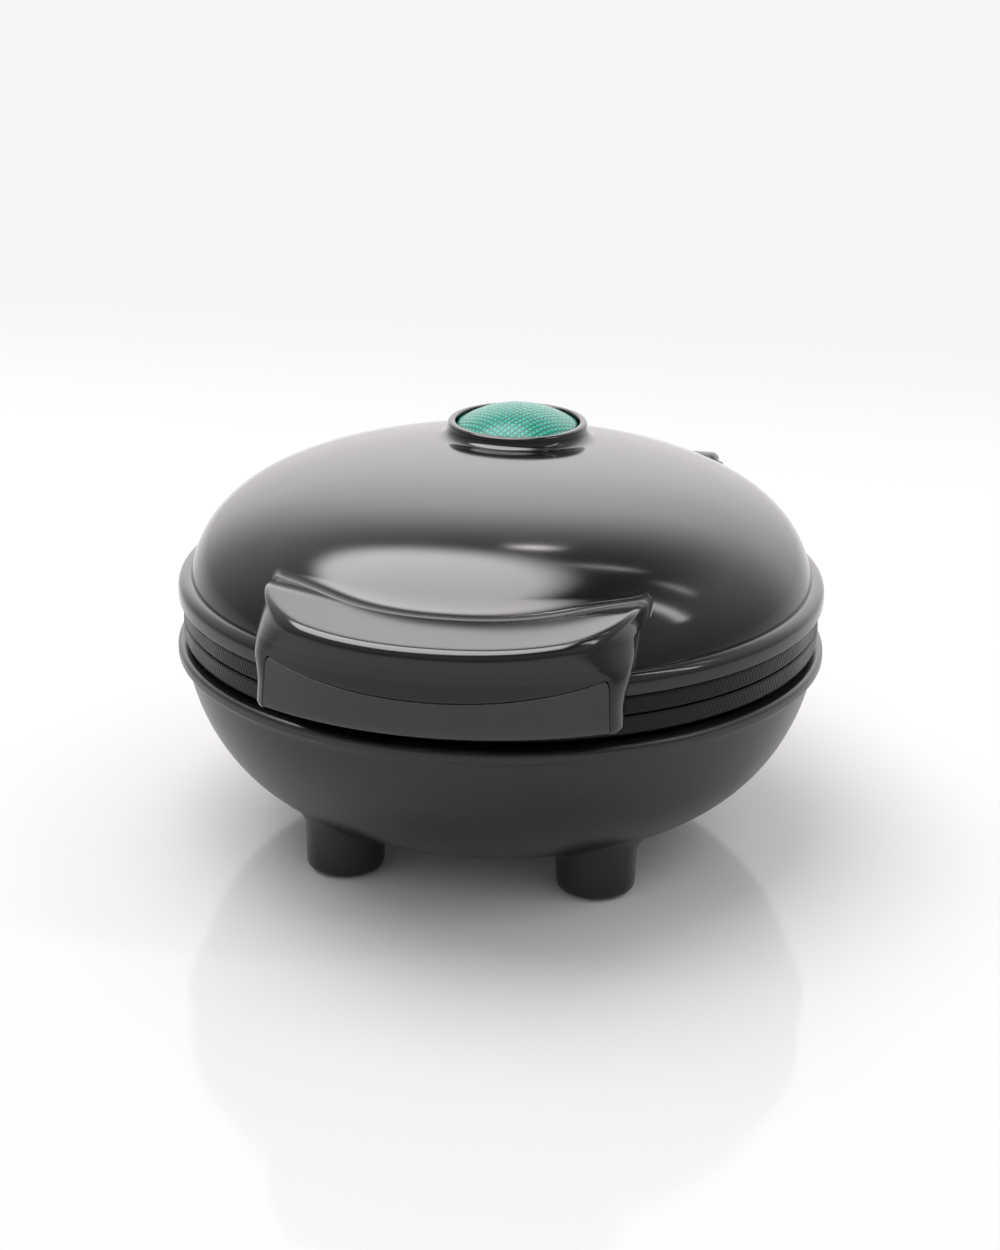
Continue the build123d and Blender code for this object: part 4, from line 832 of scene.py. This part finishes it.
# Lens ring: a raised collar in the same moulding, flared into the dome, with a thin
# rounded rim round the green lens.
RING_IN = 12.4
RING_OUT = 13.9
RING_TOP = 77.9
RING_FLARE = 16.4

dome_r = dome_line[::-1, 0]
dome_z = dome_line[::-1, 1]


def dome_height(x, y):
    """Height of the dome's skin over a point of the table."""
    return np.interp(np.hypot(x, y), dome_r, dome_z)


a = np.linspace(0, 2 * math.pi, 192, endpoint=False)


def ring_points(r, z):
    """Points round the lens at radius r and heights z."""
    return np.column_stack([r * np.cos(a), LENS_Y + r * np.sin(a), z * np.ones(len(a))])


foot_z = dome_height(RING_FLARE * np.cos(a), LENS_Y + RING_FLARE * np.sin(a))
elbow_z = dome_height((RING_OUT + 0.1) * np.cos(a), LENS_Y + (RING_OUT + 0.1) * np.sin(a))
ring_rows = []
for t in np.linspace(0, 1, 14):
    foot = ring_points(RING_FLARE, foot_z)
    elbow = ring_points(RING_OUT + 0.1, elbow_z)
    edge = ring_points(RING_OUT, RING_TOP - 0.7)
    ring_rows.append((1 - t) ** 2 * foot + 2 * t * (1 - t) * elbow + t ** 2 * edge)
rim_profile = np.concatenate([
    arc((RING_OUT - 0.6, RING_TOP - 0.6), 0.6, 0, 90, 7)[1:],
    arc((RING_IN + 0.35, RING_TOP - 0.35), 0.35, 90, 180, 5),
    [(RING_IN, 76.0), (RING_IN, 71.0)],
])
ring_rows += [ring_points(r, z) for r, z in rim_profile]
ring_shape = (np.array(ring_rows).reshape(-1, 3), grid_faces(len(ring_rows), len(a), closed=True))
make_piece("lens_ring", ring_shape, gloss_black, "lid")

# Hinge knuckles: two arms at the back of the lid moulding, each ending in a barrel
# between the base's ears, with a heel that meets the stop when the lid is fully open.
KNUCKLE_IN = 9.2
KNUCKLE_OUT = 23.6
HEEL_IN = 12.0
HEEL_OUT = 20.0
HEEL_R = 7.9
HEEL_ROOT_R = 5.5

arm = [(53.2, 48.6), (62.6, 48.6), (62.6, 47.4)] + round_hinge(BARREL_R, -127, 90, 26) + [(53.2, 59.0)]
heel = round_hinge(HEEL_R, 2, 32, 8) + round_hinge(HEEL_ROOT_R, 32, 2, 8)
knuckle_shapes = []
for side in (-1, 1):
    x0, x1 = sorted((side * KNUCKLE_IN, side * KNUCKLE_OUT))
    knuckle_shapes.append(slab(arm, x0, x1, 0.7))
    x0, x1 = sorted((side * HEEL_IN, side * HEEL_OUT))
    knuckle_shapes.append(slab(heel, x0, x1, 0.4))
knuckles = make_piece("lid_hinge_knuckles", join_shapes(knuckle_shapes), gloss_black, "lid")
flat_shade_corners(knuckles)

# Grip: a matte moulding that closes the handle in front and below, flush with the hood
# and parted from it by a fine seam. Two screws go up through its floor.
GRIP_GAP = 0.16
GRIP_FLOOR = 2.4
GRIP_BACK_R = 63.4
GRIP_FOOT_R = 1.1
GRIP_INSET = 0.06
GRIP_TOP_INSET = 0.14
GRIP_WALL = 1.4
GRIP_BACK_EDGE = 0.3
SCREW_SPOTS = [(-5.2, -66.4), (5.2, -66.4)]
SCREW_HOLE_R = 3.0
SCREW_HOLE_TOP = 47.95

inner_edge = edge_angle - GRIP_GAP / 57
grip_angles = np.linspace(-inner_edge, inner_edge, 221)
grip_top = seam_height(grip_angles * edge_angle / inner_edge) - GRIP_GAP
rise = np.concatenate([[0.0, 0.03, 0.09, 0.18], np.linspace(0.28, 0.985, 18), [1.0]])
heights = HOOD_BOTTOM + (grip_top - HOOD_BOTTOM)[None, :] * rise[:, None]
wall_points, wall_out = skin_at_height(grip_angles[None, :], heights)
lift = heights - HOOD_BOTTOM
inside_round = np.maximum(GRIP_FOOT_R - lift, 0)
foot_round = GRIP_FOOT_R - np.sqrt(np.maximum(GRIP_FOOT_R ** 2 - inside_round ** 2, 0))
wall_points -= wall_out * (foot_round + GRIP_INSET)[..., None]
wall_points[-1] -= wall_out[-1] * GRIP_TOP_INSET
out = wall_out[0]
top_back = wall_points[-1] - out * GRIP_WALL
inner_low = wall_points[4] - out * GRIP_FLOOR
inner_low[:, 2] = HOOD_BOTTOM + GRIP_FLOOR
eye = np.array(LOOK_FROM[:2])
along = out[:, :2]
dot = along @ eye
back_reach = -dot + np.sqrt(dot ** 2 - (eye @ eye - GRIP_BACK_R ** 2))
floor_level = np.full(len(along), HOOD_BOTTOM + GRIP_FLOOR)
back_floor = np.column_stack([eye + along * back_reach[:, None], floor_level])
back_low = back_floor.copy()
back_low[:, 2] = HOOD_BOTTOM + GRIP_BACK_EDGE
back_under = back_floor + out * GRIP_BACK_EDGE
back_under[:, 2] = HOOD_BOTTOM
loop = np.concatenate([wall_points, [top_back], [inner_low], [back_floor], [back_low], [back_under]])
m, n = loop.shape[:2]
grip_faces = [[i % (m * n) for i in f] for f in grid_faces(m + 1, n)]
grip_faces.append([r * n for r in range(m)])
grip_faces.append([r * n + n - 1 for r in range(m)])
grip_matte = surface("grip_matte", (0.034, 0.034, 0.036), 0.54, grain_mm=0.22, grain_depth=0.02,
                     rough_spread=0.05, wear=(0.12, 0.12, 0.12), wear_amount=0.3)
grip_shape = (loop.reshape(-1, 3), grip_faces)
grip = make_piece("handle_grip_inlay", grip_shape, grip_matte, "lid", ["handle_grip"])
hole_profile = [(0.02, 44.5), (SCREW_HOLE_R, 44.5), (SCREW_HOLE_R, SCREW_HOLE_TOP), (0.02, SCREW_HOLE_TOP)]
holes = join_shapes([turned(hole_profile, spot, 40) for spot in SCREW_SPOTS])
cutter_mesh = bpy.data.meshes.new("cutter")
cutter_mesh.from_pydata((holes[0] * MM).tolist(), [], holes[1])
cutter = bpy.data.objects.new("cutter", cutter_mesh)
scene.collection.objects.link(cutter)
bm = bmesh.new()
bm.from_mesh(cutter_mesh)
bmesh.ops.remove_doubles(bm, verts=bm.verts, dist=3e-5)
bmesh.ops.holes_fill(bm, edges=bm.edges)
bmesh.ops.recalc_face_normals(bm, faces=bm.faces)
bm.to_mesh(cutter_mesh)
bm.free()
drill = grip.modifiers.new("screw_holes", "BOOLEAN")
drill.object = cutter
drill.operation = "DIFFERENCE"
drill.solver = "EXACT"
bpy.context.view_layer.update()
drilled = bpy.data.meshes.new_from_object(grip.evaluated_get(bpy.context.evaluated_depsgraph_get()))
grip.modifiers.clear()
grip.data = drilled
bpy.data.objects.remove(cutter)
flat_shade_corners(grip, 35)

# Indicator lens: clear green moulding, smooth outside, with small pyramids moulded on
# its inner face that show through as a fine lattice. The facets' light and shade are painted into its
# colour.
LENS_R = 12.05
LENS_RIM = 77.2
LENS_TOP = 80.9
LENS_FLANGE_R = 14.0
LENS_FLANGE_TOP = 70.9
LENS_FLANGE_BOTTOM = 69.7
PRISM_PITCH = 1.0
PRISM_DEPTH = 0.45
PRISM_TURN = 38
# Painted facet shade and painted facet light: dark green for the lattice's grooves, bright green for its
# peaks.
LENS_PAINTED_FACET_SHADE = (0.0, 0.12, 0.09, 1)
LENS_PAINTED_FACET_LIGHT = (0.0, 0.50, 0.35, 1)


def lens_skin():
    """Green clear plastic with a lattice of small pyramids behind a smooth face, the pyramids' light and
    shade painted into its colour.
    """
    skin = bpy.data.materials.new("lens_green")
    skin.use_nodes = True
    nodes = skin.node_tree.nodes
    links = skin.node_tree.links
    shader = nodes["Principled BSDF"]
    shader.inputs["Coat Weight"].default_value = 0.45
    shader.inputs["Coat Roughness"].default_value = 0.2
    shader.inputs["Specular IOR Level"].default_value = 0.08
    shader.inputs["Roughness"].default_value = 0.26
    where = nodes.new("ShaderNodeTexCoord")
    spin = nodes.new("ShaderNodeMapping")
    spin.inputs["Rotation"].default_value = (0, 0, math.radians(PRISM_TURN))
    spin.inputs["Scale"].default_value = (1 / (PRISM_PITCH * MM),) * 3
    links.new(where.outputs["Object"], spin.inputs["Vector"])
    axes = nodes.new("ShaderNodeSeparateXYZ")
    links.new(spin.outputs[0], axes.inputs[0])
    folds = []
    for axis in ("X", "Y"):
        fold = nodes.new("ShaderNodeMath")
        fold.operation = "PINGPONG"
        fold.inputs[1].default_value = 0.5
        links.new(axes.outputs[axis], fold.inputs[0])
        folds.append(fold)
    height = nodes.new("ShaderNodeMath")
    height.operation = "MINIMUM"
    links.new(folds[0].outputs[0], height.inputs[0])
    links.new(folds[1].outputs[0], height.inputs[1])
    bump = nodes.new("ShaderNodeBump")
    bump.inputs["Distance"].default_value = PRISM_DEPTH * MM
    links.new(height.outputs[0], bump.inputs["Height"])
    links.new(bump.outputs["Normal"], shader.inputs["Normal"])
    smooth = nodes.new("ShaderNodeNewGeometry")
    links.new(smooth.outputs["Normal"], shader.inputs["Coat Normal"])
    # Painted shade and light of the facets: the colour runs from dark green in the lattice's grooves to
    # bright green on its peaks.
    tones = nodes.new("ShaderNodeValToRGB")
    tones.color_ramp.elements[0].position = 0.05
    tones.color_ramp.elements[0].color = LENS_PAINTED_FACET_SHADE
    tones.color_ramp.elements[1].position = 0.42
    tones.color_ramp.elements[1].color = LENS_PAINTED_FACET_LIGHT
    links.new(height.outputs[0], tones.inputs[0])
    links.new(tones.outputs[0], shader.inputs["Base Color"])
    return skin


lens_ball = (LENS_R ** 2 + (LENS_TOP - LENS_RIM) ** 2) / (2 * (LENS_TOP - LENS_RIM))
lens_lean = math.degrees(math.asin(LENS_R / lens_ball))
cap = arc((0, LENS_TOP - lens_ball), lens_ball, 90 - lens_lean + 0.8, 89.9, 28)[::-1]
skirt = [(LENS_R, LENS_RIM - 0.25), (LENS_R, 74.0), (LENS_R, LENS_FLANGE_TOP)]
flange = [
    (LENS_FLANGE_R, LENS_FLANGE_TOP), (LENS_FLANGE_R, LENS_FLANGE_BOTTOM), (0.05, LENS_FLANGE_BOTTOM),
]
lens_shape = turned(np.concatenate([cap, skirt, flange]), (0, LENS_Y), 160)
make_piece("green_lens", lens_shape, lens_skin(), "lid", ["indicator_lens"])

# Hinge pins, caps and the cord inlet: ground steel pins, satin caps pressed into the
# ears, and a nylon bush in the boss at the back.
steel = surface("ground_steel", (0.62, 0.62, 0.61), 0.25, grain_mm=0.2, grain_depth=0.004,
                metal=1.0, tone=0.05)
plated = surface("zinc_plated", (0.60, 0.60, 0.58), 0.32, grain_mm=0.3, grain_depth=0.006,
                 metal=1.0, tone=0.1, wear=(0.8, 0.8, 0.78), wear_amount=0.4)
dress("hinge_pins", steel)
dress("hinge_caps", satin_black)
nylon = surface("bush_nylon", (0.02, 0.02, 0.021), 0.45, grain_mm=0.3, grain_depth=0.01)
dress("cord_gland", nylon)

# Screws and inner parts: mostly hidden by the plates, each with the finish of its own
# metal, ceramic, resin, glass or woven sleeve.
for node in (
    "handle_screws", "lower_plate_screws", "lower_clamp_screw", "upper_clamp_screw",
    "terminal_block_screw", "lamp_holder_screws", "thermostat_screws", "fuse_clip_screw",
):
    dress(node, plated)
heated_steel = surface("heated_sheath", (0.30, 0.26, 0.22), 0.42, grain_mm=0.3, grain_depth=0.01,
                       metal=1.0, tone=0.3)
rolled_steel = surface("rolled_steel", (0.52, 0.52, 0.51), 0.38, grain_mm=0.4, grain_depth=0.008,
                       metal=1.0)
rolled_aluminium = surface("rolled_aluminium", (0.74, 0.74, 0.75), 0.34, grain_mm=0.4, grain_depth=0.006,
                           metal=1.0)
glazed = surface("glazed_ceramic", (0.80, 0.78, 0.72), 0.3, grain_mm=0.6, grain_depth=0.01, coat=0.5)
resin = surface("dark_resin", (0.14, 0.07, 0.04), 0.45, grain_mm=0.3, grain_depth=0.01)
silicone = surface("silicone_wire", (0.72, 0.71, 0.67), 0.5, grain_mm=0.3, grain_depth=0.008)
tinned = surface("tinned_lead", (0.60, 0.56, 0.50), 0.35, grain_mm=0.2, grain_depth=0.005, metal=1.0)
woven = surface("woven_glass_sleeve", (0.66, 0.62, 0.50), 0.8, grain_mm=0.18, grain_depth=0.06)
white_moulding = surface("white_moulding", (0.72, 0.72, 0.69), 0.45, grain_mm=0.3, grain_depth=0.008)
inner_pieces = {
    "lower_element": heated_steel,
    "upper_element": heated_steel,
    "lower_element_clamp": rolled_steel,
    "upper_element_clamp": rolled_steel,
    "fuse_clip": rolled_steel,
    "lower_heat_shield": rolled_aluminium,
    "upper_heat_shield": rolled_aluminium,
    "thermal_fuse": rolled_aluminium,
    "terminal_block": glazed,
    "thermostat": resin,
    "base_wires": silicone,
    "lid_wires": silicone,
    "lamp_leads": tinned,
    "base_wire_sleeve": woven,
    "lid_wire_sleeve": woven,
    "lamp_holder": white_moulding,
}
for node, skin in inner_pieces.items():
    dress(node, skin)
lamp_glass = surface("lamp_glass", (0.85, 0.80, 0.74), 0.08, grain_mm=1.0, grain_depth=0.001,
                     rough_spread=0.02)
lamp_glass.node_tree.nodes["Principled BSDF"].inputs["Transmission Weight"].default_value = 0.8
dress("neon_lamp", lamp_glass)

bpy.context.view_layer.update()
